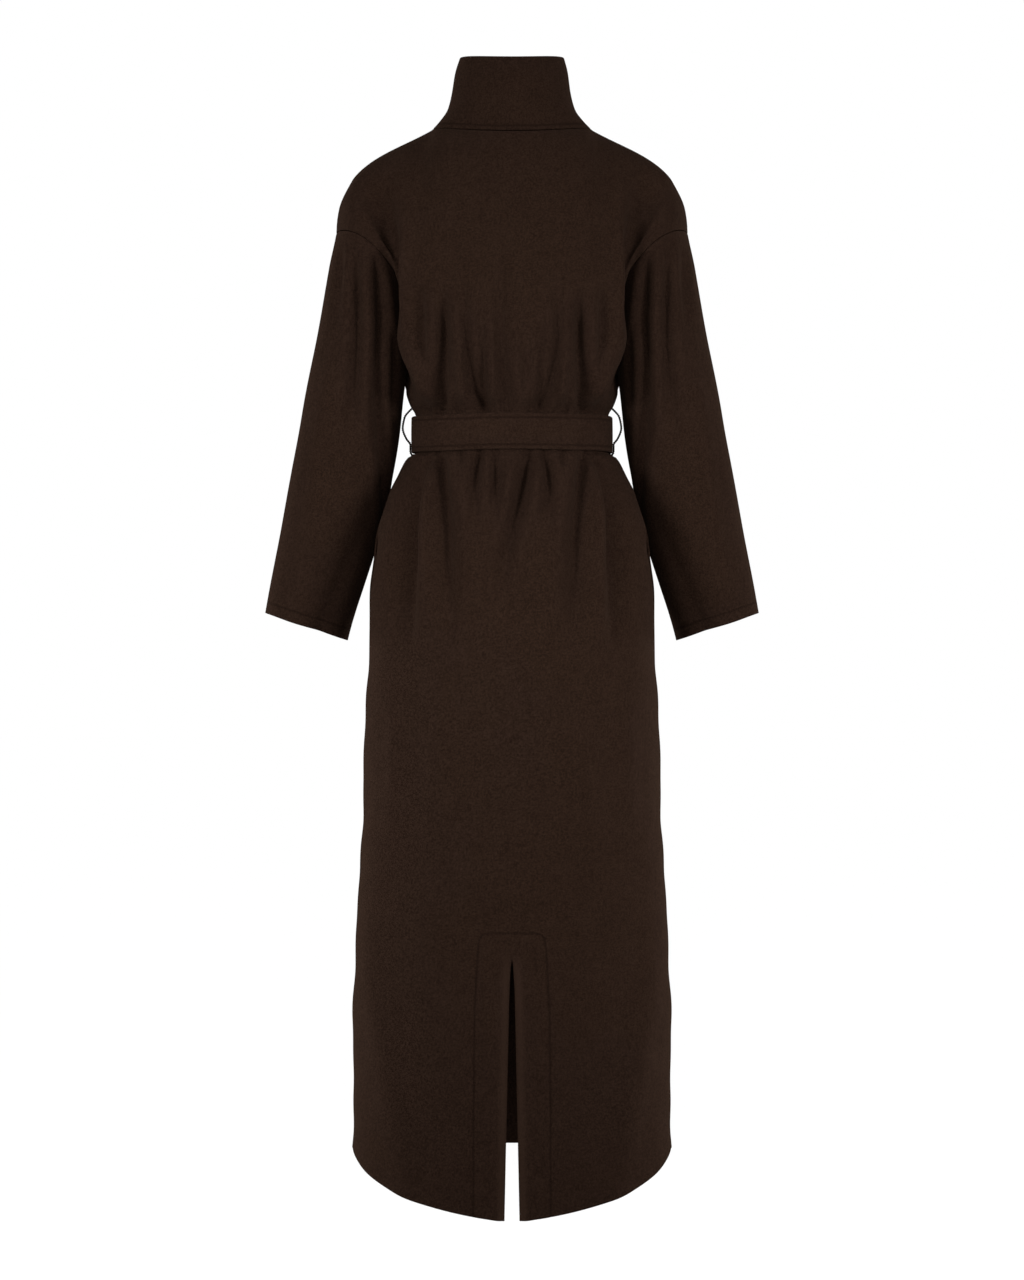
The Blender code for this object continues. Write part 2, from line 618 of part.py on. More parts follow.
def collar_walls():
    quarter = np.array(QUARTER_ANGLES, float)
    back = neck_turn(quarter[quarter <= NECK_POINT_ANGLE])
    half = np.concatenate([back, 180 - back[-2::-1]])
    lap = np.degrees(np.arcsin(NECK_LAP / NECK_HALF_WIDTH))
    half = np.concatenate([half, 180 + np.array(LAP_STEPS) * lap])
    turns = np.concatenate([-half[:0:-1], half])
    shares = np.array(COLLAR_ROWS)
    shares[0] = 3 * SEAM_GAP / COLLAR_TOP
    turn, share = np.meshgrid(turns, shares)
    down = collar_point(turn, share - SHARE_STEP) - collar_point(turn, share + SHARE_STEP)
    right = collar_point(turn + ANGLE_STEP, share) - collar_point(turn - ANGLE_STEP, share)
    normal = unit(np.cross(down, right))
    inset = np.where(turn < 0, lap_inset(np.abs(turn), lap), 0.0)
    outer = collar_point(turn, share) - normal * inset[..., None]
    return outer[::-1], (outer - normal * WALL)[::-1]


def make_collar(material):
    outer, inner = collar_walls()
    return shell("collar", outer.reshape(-1, 3), inner.reshape(-1, 3), grid_faces(*outer.shape[:2]), material)


def make_vent_facing(material):
    """The facing inside the vent: a strip each side of the slit that joins above it."""
    heights = [FACING_TOP, FACING_TOP - FACING_CORNER] + [z for z in HEM_HEIGHTS if z <= VENT_TOP]
    rows = np.array([back_row(z) for z in heights])
    z = row_height(0 * rows, rows)
    edge = np.degrees(FACING_HALF_WIDTH / (MIDDLE_SPREAD * BODY["half_width"](z)))
    edge[0] *= 1 - FACING_CORNER / FACING_HALF_WIDTH
    slit = vent_angle(rows)
    share = np.array(FACING_STEPS)
    right = slit[:, None] + share[None, :] * (edge - slit)[:, None]
    angle = np.concatenate([-right[:, ::-1], right], axis=1)
    row = np.repeat(rows[:, None], angle.shape[1], axis=1)
    inset = np.full(row.shape, WALL + SEAM_GAP)
    outer, inner = panel_walls(angle, row, np.zeros(row.shape, bool), FACING_WALL, inset)
    whole_rows = int(np.sum(rows >= back_row(VENT_TOP)))
    return slit_shell("vent_facing", outer, inner, len(share) - 1, whole_rows, material)


def make_pocket(side, material):
    """The facing strip that shows in the gaping side seam pocket."""
    rows = np.array([row for row in SKIRT_ROWS if POCKET_END <= row <= POCKET_TOP], float)
    seam = side_seam(rows)
    angle = seam[:, None] + np.array(POCKET_ANGLES)[None, :]
    row = np.repeat(rows[:, None], angle.shape[1], axis=1)
    inset = np.full(row.shape, WALL + POCKET_DEPTH)
    outer, inner = panel_walls(angle, row, np.zeros(row.shape, bool), POCKETING_WALL, inset)
    faces = grid_faces(*row.shape)
    if side == "left":
        outer, inner = outer * (-1, 1, 1), inner * (-1, 1, 1)
        faces = [face[::-1] for face in faces]
    return shell("pocket_facing_" + side, outer.reshape(-1, 3), inner.reshape(-1, 3), faces, material)


def belt_ring(angle, z, out):
    """A point of the belt's smooth ring, a distance out from the body section at the belt's middle."""
    level = np.full(np.shape(angle), BELT_Z)
    along = section_point(angle + ANGLE_STEP, level) - section_point(angle - ANGLE_STEP, level)
    outward = unit(np.cross(along, (0, 0, 1)))
    ring = section_point(angle, level) + outward * np.asarray(out)[..., None]
    ring[..., 2] = z
    return ring


def make_belt_band(material):
    angles = np.arange(0, 360, BELT_STEP)
    heights = BELT_Z + 0.5 * BELT_WIDTH * np.array([1.0, -1.0])
    angle, z = np.meshgrid(angles, heights)
    outer = belt_ring(angle, z, np.full(angle.shape, BELT_EASE + BELT_WALL))
    inner = belt_ring(angle, z, np.full(angle.shape, BELT_EASE))
    faces = grid_faces(*angle.shape, wrap=True)
    return shell("belt_band", outer.reshape(-1, 3), inner.reshape(-1, 3), faces, material)


def make_belt_knot(material):
    """The knot at the centre front: a rounded pad that stands on the band."""
    mesh = bpy.data.meshes.new("belt_knot")
    work = bmesh.new()
    bmesh.ops.create_cube(work, size=1.0)
    bmesh.ops.subdivide_edges(work, edges=work.edges[:], cuts=3, use_grid_fill=True)
    base = BODY["front"](BELT_Z) + BELT_EASE + BELT_WALL + SEAM_GAP
    for vert in work.verts:
        square = np.array(vert.co) * 2
        others = np.roll(square, 1) ** 2, np.roll(square, 2) ** 2
        ball = square * np.sqrt(1 - others[0] / 2 - others[1] / 2 + others[0] * others[1] / 3)
        soft = KNOT_SQUARE * square + (1 - KNOT_SQUARE) * ball
        x, y, z = 0.5 * soft * (KNOT_WIDTH, KNOT_DEPTH, KNOT_HEIGHT)
        vert.co = np.array([x, base + 0.5 * KNOT_DEPTH + y, BELT_Z + z]) * MM
    work.to_mesh(mesh)
    work.free()
    return add_object("belt_knot", mesh, material)


def tail_point(side, across, down):
    """A point of a hanging belt end's middle surface, draped over the skirt's front."""
    start = BELT_Z - 0.5 * KNOT_HEIGHT - SEAM_GAP
    z = start - down
    x = side * (TAIL_TOP_X + TAIL_SPLAY * (down / TAIL_LENGTH)) + across
    angle = 180 - np.degrees(np.arcsin(x / (MIDDLE_SPREAD * BODY["half_width"](z))))
    front = section_point(angle, z)[..., 1]
    knot_front = BODY["front"](BELT_Z) + BELT_EASE + BELT_WALL + TAIL_KNOT_SHARE * KNOT_DEPTH
    lead = smooth_step(down / TAIL_LEAD)
    y = np.maximum(knot_front * (1 - lead) + (front + TAIL_CLEAR) * lead, front + TAIL_CLEAR)
    return np.stack([x, y, z], axis=-1)


def make_belt_tail(side_name, material):
    side = 1 if side_name == "right" else -1
    across, down = np.meshgrid(0.5 * BELT_WIDTH * np.array(TAIL_COLUMNS), TAIL_ROWS)
    outer = tail_point(side, across, down)
    normal = grid_normals_open(outer)
    faces = grid_faces(*down.shape)
    inner = outer - normal * BELT_WALL
    return shell("belt_tail_" + side_name, outer.reshape(-1, 3), inner.reshape(-1, 3), faces, material)


def grid_normals_open(points):
    """Outward normals of an open sheet whose columns run to the viewer's right."""
    return unit(np.cross(np.gradient(points, axis=0), np.gradient(points, axis=1)))


def make_carrier(side_name, material):
    """A thread loop at the side seam that carries the belt, bowed out clear of it."""
    side = 1 if side_name == "right" else -1
    top, foot = (float(coat_point(90.0, z, False)[0]) for z in (CARRIER_TOP, CARRIER_FOOT))
    belt_side = float(BODY["half_width"](BELT_Z)) + BELT_EASE + BELT_WALL
    ends = [(top + CARRIER_CLEAR, CARRIER_TOP)]
    ends += [(belt_side + out, BELT_Z + height) for out, height in CARRIER_ROUTE]
    ends += [(foot + CARRIER_CLEAR, CARRIER_FOOT)]
    route = curve_through(range(len(ends)), ends)(np.linspace(0, len(ends) - 1, CARRIER_POINTS))
    curve = bpy.data.curves.new("carrier_" + side_name, "CURVE")
    curve.dimensions = "3D"
    curve.bevel_depth = CARRIER_RADIUS * MM
    curve.bevel_resolution = 1
    curve.use_fill_caps = True
    spline = curve.splines.new("POLY")
    spline.points.add(len(route) - 1)
    for point, (x, z) in zip(spline.points, route):
        point.co = (side * x * MM, 0.0, z * MM, 1.0)
    curve.materials.append(material)
    part = bpy.data.objects.new("belt_carrier_" + side_name, curve)
    bpy.context.scene.collection.objects.link(part)
    return part


def make_material(name, colour, roughness):
    material = bpy.data.materials.new(name)
    material.use_nodes = True
    shader = material.node_tree.nodes["Principled BSDF"]
    shader.inputs["Base Color"].default_value = (*colour, 1.0)
    shader.inputs["Roughness"].default_value = roughness
    shader.inputs["Metallic"].default_value = 0.0
    return material


def main():
    for old in list(bpy.data.objects):
        bpy.data.objects.remove(old)
    wool = make_material("brown_wool", CLOTH_COLOUR, CLOTH_ROUGHNESS)
    thread = make_material("dark_thread", THREAD_COLOUR, THREAD_ROUGHNESS)
    make_back(wool)
    make_collar(wool)
    make_vent_facing(wool)
    make_belt_band(wool)
    make_belt_knot(wool)
    for side in ("left", "right"):
        make_front(side, wool)
        make_sleeve(side, wool)
        make_pocket(side, wool)
        make_belt_tail(side, wool)
        make_carrier(side, thread)


main()
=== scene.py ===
import math

import bpy
import numpy as np
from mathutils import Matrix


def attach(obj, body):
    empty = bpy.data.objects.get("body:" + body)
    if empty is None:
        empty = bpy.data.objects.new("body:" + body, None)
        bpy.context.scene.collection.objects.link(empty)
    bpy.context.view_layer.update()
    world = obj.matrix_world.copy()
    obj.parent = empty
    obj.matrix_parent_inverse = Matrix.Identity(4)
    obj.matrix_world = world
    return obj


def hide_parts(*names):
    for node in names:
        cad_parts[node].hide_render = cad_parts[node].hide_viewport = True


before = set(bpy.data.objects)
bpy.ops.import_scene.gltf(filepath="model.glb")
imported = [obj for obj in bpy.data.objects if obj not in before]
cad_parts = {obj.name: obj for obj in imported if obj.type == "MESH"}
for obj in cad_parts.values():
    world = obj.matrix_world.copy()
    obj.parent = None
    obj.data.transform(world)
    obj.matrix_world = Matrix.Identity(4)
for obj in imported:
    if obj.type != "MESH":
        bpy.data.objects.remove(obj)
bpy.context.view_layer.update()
print("frame loaded")

# Sizes are in millimetres. Angles go round the coat in degrees: 0 at the centre back, 90 at the side,
# 180 in front. A row at or above zero is a share of the way from the neck or shoulder down to the armpit,
# and one below zero is a height.
mm = 0.001
wall = 2.2
seamGap = 0.3
layerGap = 1.2
armpitZ = -225.0
sideTop, sideHip, sideRun = 90.0, 81.0, 200.0
neckAngle = 40.0
middleSpread = 1.08  # width per turn near the centre lines
hemBendStart, hemRow = -800.0, -1225.0
angleStep, shareStep, heightStep = 0.05, 0.004, 0.6
seamShare = 0.002
farOff = 99.0  # too far from a seam for its stitches to show
troughSteep, troughSoft = 1.6, 0.4


def unit(vectors):
    return vectors / np.maximum(np.linalg.norm(vectors, axis=-1, keepdims=True), 1e-9)


def smoothStep(x):
    x = np.clip(x, 0.0, 1.0)
    return x * x * (3 - 2 * x)


def bell(x):
    return np.exp(-x * x)


def trough(x):  # steep in the middle, with soft sides
    return np.exp(troughSteep * (troughSoft - np.hypot(x, troughSoft)))


def foldedAngle(angle):  # the same on both sides of the coat
    return np.abs((np.asarray(angle) + 180) % 360 - 180)


def sideSign(side):
    return -1 if side == "left" else 1


def curveThrough(stations, values):  # smooth, and never past its table's values
    order = np.argsort(stations)
    xs = np.array(stations, float)[order]
    ys = np.array(values, float)[order]
    steps = np.diff(xs)
    slopes = np.diff(ys, axis=0) / steps.reshape((-1,) + (1,) * (ys.ndim - 1))
    tangents = np.zeros_like(ys)
    tangents[0], tangents[-1] = slopes[0], slopes[-1]
    product, total = slopes[:-1] * slopes[1:], slopes[:-1] + slopes[1:]
    level = product <= 0
    tangents[1:-1] = np.where(level, 0.0, 2 * product / np.where(level, 1.0, total))

    def at(x):
        x = np.clip(np.asarray(x, float), xs[0], xs[-1])
        i = np.clip(np.searchsorted(xs, x, side="right") - 1, 0, len(xs) - 2)
        shape = x.shape + (1,) * (ys.ndim - 1)
        width = steps[i].reshape(shape)
        t = ((x - xs[i]) / steps[i]).reshape(shape)
        rise = t * t * (3 - 2 * t)
        bend = width * (tangents[i] * t * (1 - t) ** 2 - tangents[i + 1] * t * t * (1 - t))
        return ys[i] * (1 - rise) + ys[i + 1] * rise + bend

    return at


def tableCurves(names, rows):  # the first column is the station
    names = names.split()
    stations = [row[0] for row in rows]
    return {name: curveThrough(stations, [row[k] for row in rows]) for k, name in enumerate(names) if k}


def bezier(p0, p1, p2, p3, t):
    s = 1 - t
    return s * s * s * p0 + 3 * s * s * t * p1 + 3 * s * t * t * p2 + t * t * t * p3


# Form of the worn coat
bodyForm = tableCurves("z halfWidth back front square press", [
    (-225, 152, 112, 118, 0.050, 32),
    (-260, 149, 110, 122, 0.050, 30),
    (-300, 142, 104, 117, 0.045, 17),
    (-318, 132, 100, 112, 0.040, 5),
    (-333, 123, 95, 105, 0.030, 1.5),
    (-343, 115.5, 88, 96, 0.020, 0),
    (-387.5, 115.5, 88, 96, 0.020, 0),
    (-394, 125.5, 95.5, 101.5, 0.020, 0),
    (-409, 133, 101, 106, 0.020, 0),
    (-437, 146, 111, 114, 0.020, 0),
    (-494, 161, 122, 122, 0.025, 0),
    (-560, 170, 127, 125, 0.030, 0),
    (-624, 172, 128, 127, 0.030, 0),
    (-780, 178, 128, 129, 0.030, 0),
    (-972, 186.5, 130, 132, 0.025, 0),
    (-1068, 190, 131, 134, 0.020, 0),
    (-1300, 192.5, 132, 136, 0.020, 0),
])
pressWidth = 20.0  # how far round the arm presses the side in
backReach = tableCurves("angle seamX seamY seamZ pitX pitY pitZ", [
    (0, 0, -16, -32, 0, -6, 88),
    (40, 4, -52, -8, 0, -8, 88),
    (62, 2, -56, -8, 2, -14, 90),
    (78, -4, -72, -2, 14, -52, 92),
    (90, -10, -85, 6, 22, -81, 90),
])
frontReach = tableCurves("angle seamX seamY seamZ pitX pitY pitZ", [
    (90, -10, 85, 6, 22, 78, 90),
    (102, -4, 72, -2, 14, 50, 92),
    (118, 2, 52, -8, 2, 10, 90),
    (140, 4, 46, -8, 0, -4, 84),
    (180, 0, 10, -34, 0, -10, 66),
])
neck = {"halfWidth": 95.5, "back": 66.0, "front": 80.0, "napeDrop": 9.0, "frontDrop": 70.0, "lap": 42.0}
shoulderCurve = np.array([(95.5, 0.0), (148.0, -30.0), (210.0, -38.0), (211.0, -124.0)])
shoulderTipY = 5.0
hem = {"side": -1219.0, "frontCentre": -1231.0, "backCentre": -1292.0, "curve": 1.42}
vent = {"top": -987.0, "fullAt": -1030.0, "topGap": 6.5, "hemGap": 17.6}
facing = {"top": -953.0, "corner": 10.0, "wall": 1.6, "turn": 1.5, "topTurn": 2.0}
facingHalf = curveThrough((-953, -985, -1060, -1292), (39.5, 42, 45.5, 47))
pocket = {"top": -450.0, "end": -592.0, "slope": 62.0, "gape": 8.0, "depth": 1.8, "hollow": 8.0, "wall": 1.2}
belt = {"z": -366.0, "width": 43.0, "ease": 1.1, "wall": 4.0}
lapWidth, lapBlend = 60.0, 16.0


def sectionPoint(angle, z):
    turn = np.radians(angle)
    square = bodyForm["square"](z)
    across = (np.sin(turn) + square * np.sin(3 * turn)) / (1 - square)
    along = (np.cos(turn) - square * np.cos(3 * turn)) / (1 - square)
    press = bodyForm["press"](z) * bell((90 - foldedAngle(angle)) / pressWidth)
    x = bodyForm["halfWidth"](z) * across - np.sign(across) * press
    y = -along * np.where(along > 0, bodyForm["back"](z), bodyForm["front"](z))
    return np.stack([x, y, z + 0 * x], axis=-1)


def neckTurn(angle):  # 0 at the nape, 90 at the shoulder, 180 at the centre front
    return np.where(angle < 90, 90 * angle / neckAngle, 90 + 90 * (angle - 180 + neckAngle) / neckAngle)


def neckPoint(turn):
    cosine = np.cos(np.radians(turn))
    isBack = cosine > 0
    x = neck["halfWidth"] * np.sin(np.radians(turn))
    y = -cosine * np.where(isBack, neck["back"], neck["front"])
    drop = np.where(isBack, neck["napeDrop"], neck["frontDrop"])
    return np.stack([x, y, -drop * np.abs(cosine) ** np.where(isBack, 2.0, 1.4)], axis=-1)


def shoulderPoint(angle):
    share = (np.minimum(angle, 180 - angle) - neckAngle) / (90 - neckAngle)
    x, z = (bezier(*shoulderCurve[:, k], share) for k in (0, 1))
    return np.stack([x, shoulderTipY * share, z], axis=-1)


def reachOf(end, angle, front):
    arms = [np.stack([table[end + k](angle) for k in "XYZ"], axis=-1) for table in (backReach, frontReach)]
    return np.where(np.asarray(front)[..., None], arms[1], arms[0])


def upperPlain(angle, share, front):
    past = angle > 180
    folded = np.where(past, 360 - angle, angle)
    inNeck = np.abs(folded - 90) >= 90 - neckAngle
    atNeck = neckPoint(neckTurn(np.where(inNeck, folded, 0.0)))
    start = np.where(inNeck[..., None], atNeck, shoulderPoint(np.where(inNeck, neckAngle, folded)))
    end = sectionPoint(folded, armpitZ + 0 * folded)
    t = np.asarray(share)[..., None] + 0 * start
    point = bezier(start, start + reachOf("seam", folded, front), end + reachOf("pit", folded, front), end, t)
    point[..., 0] *= np.where(past, -1.0, 1.0)
    return point


def hemHeight(angle):
    folded = foldedAngle(angle)
    backShare = np.clip(folded / sideHip, 0, 1)
    back = hem["backCentre"] + (hem["side"] - hem["backCentre"]) * backShare ** hem["curve"]
    frontShare = np.clip((folded - sideHip) / (180 - sideHip), 0, 1)
    front = hem["side"] + (hem["frontCentre"] - hem["side"]) * smoothStep(frontShare)
    return np.where(folded < sideHip, back, front)


def rowHeight(angle, row):
    share = np.clip((hemBendStart - row) / (hemBendStart - hemRow), 0, None)
    bent = hemBendStart + (hemHeight(angle) - hemBendStart) * share
    return np.where(row < hemBendStart, bent, row)


def backRow(z):  # the grid row that crosses the centre back at z
    return hemBendStart - (hemBendStart - z) / (hemBendStart - hem["backCentre"]) * (hemBendStart - hemRow)


def plainPoint(angle, row, front):
    upper = row >= 0
    high = upperPlain(np.abs(angle), np.where(upper, row, 0.0), front)
    high[..., 0] *= np.where(angle < 0, -1.0, 1.0)
    low = sectionPoint(angle, rowHeight(angle, np.where(upper, armpitZ, row)))
    return np.where(upper[..., None], high, low)


def offSeam(angle, row, front):
    size = np.abs(angle)
    kept = np.where(front, np.maximum(size, 90 + angleStep), np.minimum(size, 90 - angleStep))
    return np.where(angle < 0, -1.0, 1.0) * np.where(row >= 0, kept, size)


def normalsOf(surface, angle, row, front):
    angle = offSeam(angle, row, front)
    above = row >= 0
    step = np.where(above, shareStep, -heightStep)
    low, high = np.where(above, 0.0, -np.inf), np.where(above, 1.0, armpitZ)
    lower, upper = (surface(angle, np.clip(row + k * step, low, high), front) for k in (1, -1))
    right = surface(angle + angleStep, row, front) - surface(angle - angleStep, row, front)
    return unit(np.cross(lower - upper, right))


# Creases of the cloth. Each has stations of height, distance from the middle and depth, its half width,
# how much wider its outer side is, and its side, 0 for both. A depth below zero is a ridge.
backCreases = [
    ([(-196, 82, 0), (-219, 82, 13), (-250, 82, 22), (-280, 83, 23),
      (-312, 86, 22), (-340, 89, 20), (-372, 89, 0)], 12.0, 1.0, 0),
    ([(-190, 110, 0), (-219, 109.5, 13), (-255, 109, 18.5), (-285, 107, 13), (-322, 105, 0)], 10.5, 1.2, 0),
    ([(-182, 58, 0), (-222, 56.5, 9), (-276, 52, 15),
      (-312, 45, 15), (-340, 36, 12), (-372, 36, 0)], 8.6, 1.0, 0),
    ([(-222, 36, 0), (-262, 35, 9), (-300, 34, 12), (-336, 31, 9), (-372, 31, 0)], 6.5, 1.0, 0),
    ([(-138, -15.5, 0), (-205, -13.5, 5), (-292, -11.5, 7.5), (-340, -6, 7.5), (-372, -6, 0)], 8.0, 1.0, 1),
    ([(-232, 21.5, 0), (-288, 19.6, 6), (-340, 21.5, 7.5), (-372, 21.5, 0)], 7.0, 1.0, 1),
    ([(-240, 68, 0), (-290, 68, 5), (-340, 66, 7.5), (-372, 66, 0)], 6.5, 1.0, 0),
    ([(-360, 90, 0), (-388, 92, 17), (-412, 87, 18), (-452, 81, 16),
      (-492, 78, 14), (-545, 75.5, 11), (-590, 74, 6), (-640, 72, 0)], 12.5, 1.0, 0),
    ([(-372, 98, 0), (-390, 104, 11), (-404, 110, 18), (-432, 113, 20),
      (-468, 118, 20), (-512, 120, 17), (-564, 120, 12), (-640, 118, 0)], 7.5, 2.6, 0),
    ([(-360, 39, 0), (-388, 39, 15), (-408, 42, 15.5), (-440, 44.5, 10), (-492, 44, 0)], 8.8, 1.0, 0),
    ([(-360, -21, 0), (-388, -21, 11), (-412, -20, 12), (-442, -20, 7.5), (-480, -20, 0)], 8.0, 1.0, 1),
    ([(-360, 22, 0), (-388, 21.5, 14), (-412, 17.5, 15), (-452, 8, 14),
      (-492, -2, 11), (-532, -9, 6.5), (-580, -12, 0)], 9.0, 1.0, 1),
    ([(-360, 62, 0), (-388, 62, 9), (-420, 61, 6.5), (-466, 60, 0)], 7.0, 1.0, 0),
    ([(-244, 142, 0), (-286, 133, 9), (-314, 121, 13), (-342, 104, 11), (-372, 100, 0)], 8.0, 2.4, 0),
    ([(-640, 137, 0), (-740, 138, -4), (-860, 140, 0)], 11.0, 1.0, 0),
    ([(-640, 95, 0), (-740, 95, -3.5), (-860, 95, 0)], 12.0, 1.0, 0),
    ([(-870, 181, 0), (-960, 172, -3.5), (-1100, 152, -5),
      (-1200, 136, -4.5), (-1292, 121, -3)], 17.0, 1.0, 0),
]
frontCreases = [
    ([(-204, 90, 0), (-240, 90, 11), (-300, 90, 16), (-340, 88, 17.5), (-372, 88, 0)], 10.0, 1.0, 0),
    ([(-196, 70, 0), (-240, 69, 6), (-300, 67, 10), (-340, 65, 11), (-372, 65, 0)], 7.5, 1.0, 0),
    ([(-226, 112, 0), (-265, 111, 10), (-318, 108, 0)], 9.5, 1.2, 0),
    ([(-360, 90, 0), (-388, 90, 17.5), (-440, 84, 15), (-500, 79, 10), (-610, 76, 0)], 10.5, 1.0, 0),
    ([(-360, 66, 0), (-388, 66, 11), (-430, 66, 6), (-480, 66, 0)], 7.0, 1.0, 0),
    ([(-380, 102, 0), (-404, 111, 11), (-450, 118, 14), (-530, 121, 10), (-630, 120, 0)], 7.5, 2.4, 0),
    ([(-700, 100, 0), (-900, 104, -3), (-1100, 108, -4), (-1240, 112, -4)], 16.0, 1.0, 0),
]
beside = {"share": 0.32, "at": 1.9, "wide": 0.9}  # how the cloth stands up beside a trough
beltHold = {"roomAt": 24.0, "roomRun": 22.0, "gripAt": 18.0, "gripRun": 16.0, "depth": 0.4, "width": 0.6}
sideCalm = 12.0  # creases die out this near the side seam
armFold = {  # the body's cloth standing over the arm
    "angle": 55.5, "deep": 15.0, "lead": 1.6, "rise": 3.6, "flat": 2.0, "fade": 26.0,
    "ridge": 4.5, "ridgeAt": 3.0, "ridgeWide": 4.0,
}
armFoldShare = curveThrough((-58, -92, -165, -255), (0, 1, 1, 0))


def beltRoom(z):  # nothing stands out under the belt
    return smoothStep((np.abs(z - belt["z"]) - beltHold["roomAt"]) / beltHold["roomRun"])


def beltGrip(z):  # the belt draws a fold together
    return smoothStep((np.abs(z - belt["z"]) - beltHold["gripAt"]) / beltHold["gripRun"])


def creaseLines(table):
    made = []
    for stations, wide, lean, side in table:
        along, middle, deep = (np.array(part, float) for part in zip(*stations))
        made.append((curveThrough(along, middle), curveThrough(along, deep), wide, lean, side))
    return made


def lineDepth(lines, across, along, room=1.0, grip=1.0):
    depth = np.zeros(np.broadcast(across, along).shape)
    tight, narrow = (beltHold[k] + (1 - beltHold[k]) * grip for k in ("depth", "width"))
    for middle, deep, wide, lean, side in lines:
        deepHere = deep(along) * tight
        for way in ((1, -1) if side == 0 else (1,)):
            far = way * across - middle(along)
            far = far / np.where(far > 0, wide * lean, wide) / narrow
            banks = sum(bell((far + k * beside["at"]) / beside["wide"]) for k in (-1, 1))
            dip = trough(far) - beside["share"] * room * banks
            depth += deepHere * np.where(deepHere > 0, dip, bell(far))
    return depth


backLines, frontLines = creaseLines(backCreases), creaseLines(frontCreases)


def creaseDepth(angle, base):
    x, z = base[..., 0], base[..., 2]
    turned = foldedAngle(angle)
    back, front = (lineDepth(lines, x, z, beltRoom(z), beltGrip(z)) for lines in (backLines, frontLines))
    depth = np.where(turned < 90, back, front) * smoothStep(np.abs(turned - 90) / sideCalm)
    past = np.minimum(turned, 180 - turned) - armFold["angle"]
    under = smoothStep((past + armFold["lead"]) / armFold["rise"])
    under = under * (1 - smoothStep((past - armFold["flat"]) / armFold["fade"]))
    ridge = armFold["ridge"] * bell((past + armFold["ridgeAt"]) / armFold["ridgeWide"])
    return depth + armFoldShare(z) * (armFold["deep"] * under - ridge)


# Slow waves of the hanging cloth: height, length down, turns round, start
waves = [(0.9, 310.0, 2.0, 0.4), (0.6, 170.0, 5.0, 2.1), (0.45, 95.0, 3.0, 4.0), (0.35, 61.0, 9.0, 1.2)]
backLean = {"high": 0.5, "pace": 83.0}  # keeps the two halves of the back from being mirror images


def drift(angle, z):
    signed = (np.asarray(angle) + 180) % 360 - 180
    folded = np.radians(np.abs(signed))
    total = backLean["high"] * np.sin(np.radians(signed) * 2) * np.sin(z / backLean["pace"])
    total = total * (np.abs(signed) < 90)
    for high, down, turns, start in waves:
        total = total + high * np.sin(2 * math.pi * z / down + turns * folded + start)
    return total * beltRoom(z)


ventRoll = {
    "lead": 26.0, "run": 40.0, "ridge": 2.4, "ridgeAt": 10.0, "ridgeWide": 6.0, "edge": 3.4, "edgeWide": 4.2,
}
ventDimples = [(1.6, -968.0, 16.0, 4.0), (5.5, -934.0, 17.0, 50.0)]  # depth, height, half height, half width
facingRelief = {"lift": 0.8, "blend": 3.0, "groove": 0.7, "grooveWide": 2.2}
ventReach = 60.0  # the slit's own forms keep to this side of this angle


def ventHalfGap(z):
    top = vent["topGap"] * np.sqrt(np.clip((vent["top"] - z) / (vent["top"] - vent["fullAt"]), 0, 1))
    widening = np.clip((vent["fullAt"] - z) / (vent["fullAt"] - hem["backCentre"]), 0, 1)
    return 0.5 * (top + (vent["hemGap"] - vent["topGap"]) * widening)


def ventAngle(row):
    z = rowHeight(0 * row, row)
    return np.degrees(ventHalfGap(z) / (middleSpread * bodyForm["halfWidth"](z)))


def facingDistance(x, z):  # from the sewn outline of the facing, below zero inside, and the way along it
    radius = facing["corner"]
    right = np.abs(x) - (facingHalf(z) - facing["turn"] - radius)
    up = z - (facing["top"] - facing["topTurn"] - radius)
    outside = np.hypot(np.maximum(right, 0), np.maximum(up, 0))
    return outside + np.minimum(np.maximum(right, up), 0) - radius, np.where(right > up, z, x)


def ventLift(base, angle):  # rolled edges of the slit, the dimples above it, the doubled facing
    x, z = base[..., 0], base[..., 2]
    fromEdge = np.abs(x) - ventHalfGap(z)
    below = smoothStep((vent["top"] + ventRoll["lead"] - z) / ventRoll["run"])
    ridge = ventRoll["ridge"] * bell((fromEdge - ventRoll["ridgeAt"]) / ventRoll["ridgeWide"])
    roll = below * (ridge - ventRoll["edge"] * bell(fromEdge / ventRoll["edgeWide"]))
    dimple = sum(deep * bell((z - at) / high) * bell(x / wide) for deep, at, high, wide in ventDimples)
    fromSeam = facingDistance(x, z)[0]
    lift = facingRelief["lift"] * smoothStep(0.5 - fromSeam / facingRelief["blend"])
    doubled = lift - facingRelief["groove"] * bell(fromSeam / facingRelief["grooveWide"])
    return np.where(np.abs(angle) < ventReach, roll - dimple + doubled, 0.0)


levelFrom = 0.6  # from this share down to the armpit, creases turn to being pushed level
waveStart = 0.2  # the waves have grown by this share below the neck and shoulder seams


def coatPoint(angle, row, front):
    angle, row = np.broadcast_arrays(np.asarray(angle, float), np.asarray(row, float))
    base = plainPoint(angle, row, front)
    outward = normalsOf(plainPoint, angle, row, front)
    outward[..., 2] *= np.where(row >= 0, 1 - smoothStep((row - levelFrom) / (1 - levelFrom)), 0.0)
    free = np.where(row >= 0, smoothStep(row / waveStart), 1.0)
    out = free * drift(angle, base[..., 2]) - creaseDepth(angle, base) + ventLift(base, angle)
    return base + unit(outward) * out[..., None]


def gridNormals(points, wrap=False):
    down = np.gradient(points, axis=0)
    right = np.roll(points, -1, axis=1) - np.roll(points, 1, axis=1) if wrap else np.gradient(points, axis=1)
    return unit(np.cross(down, right))


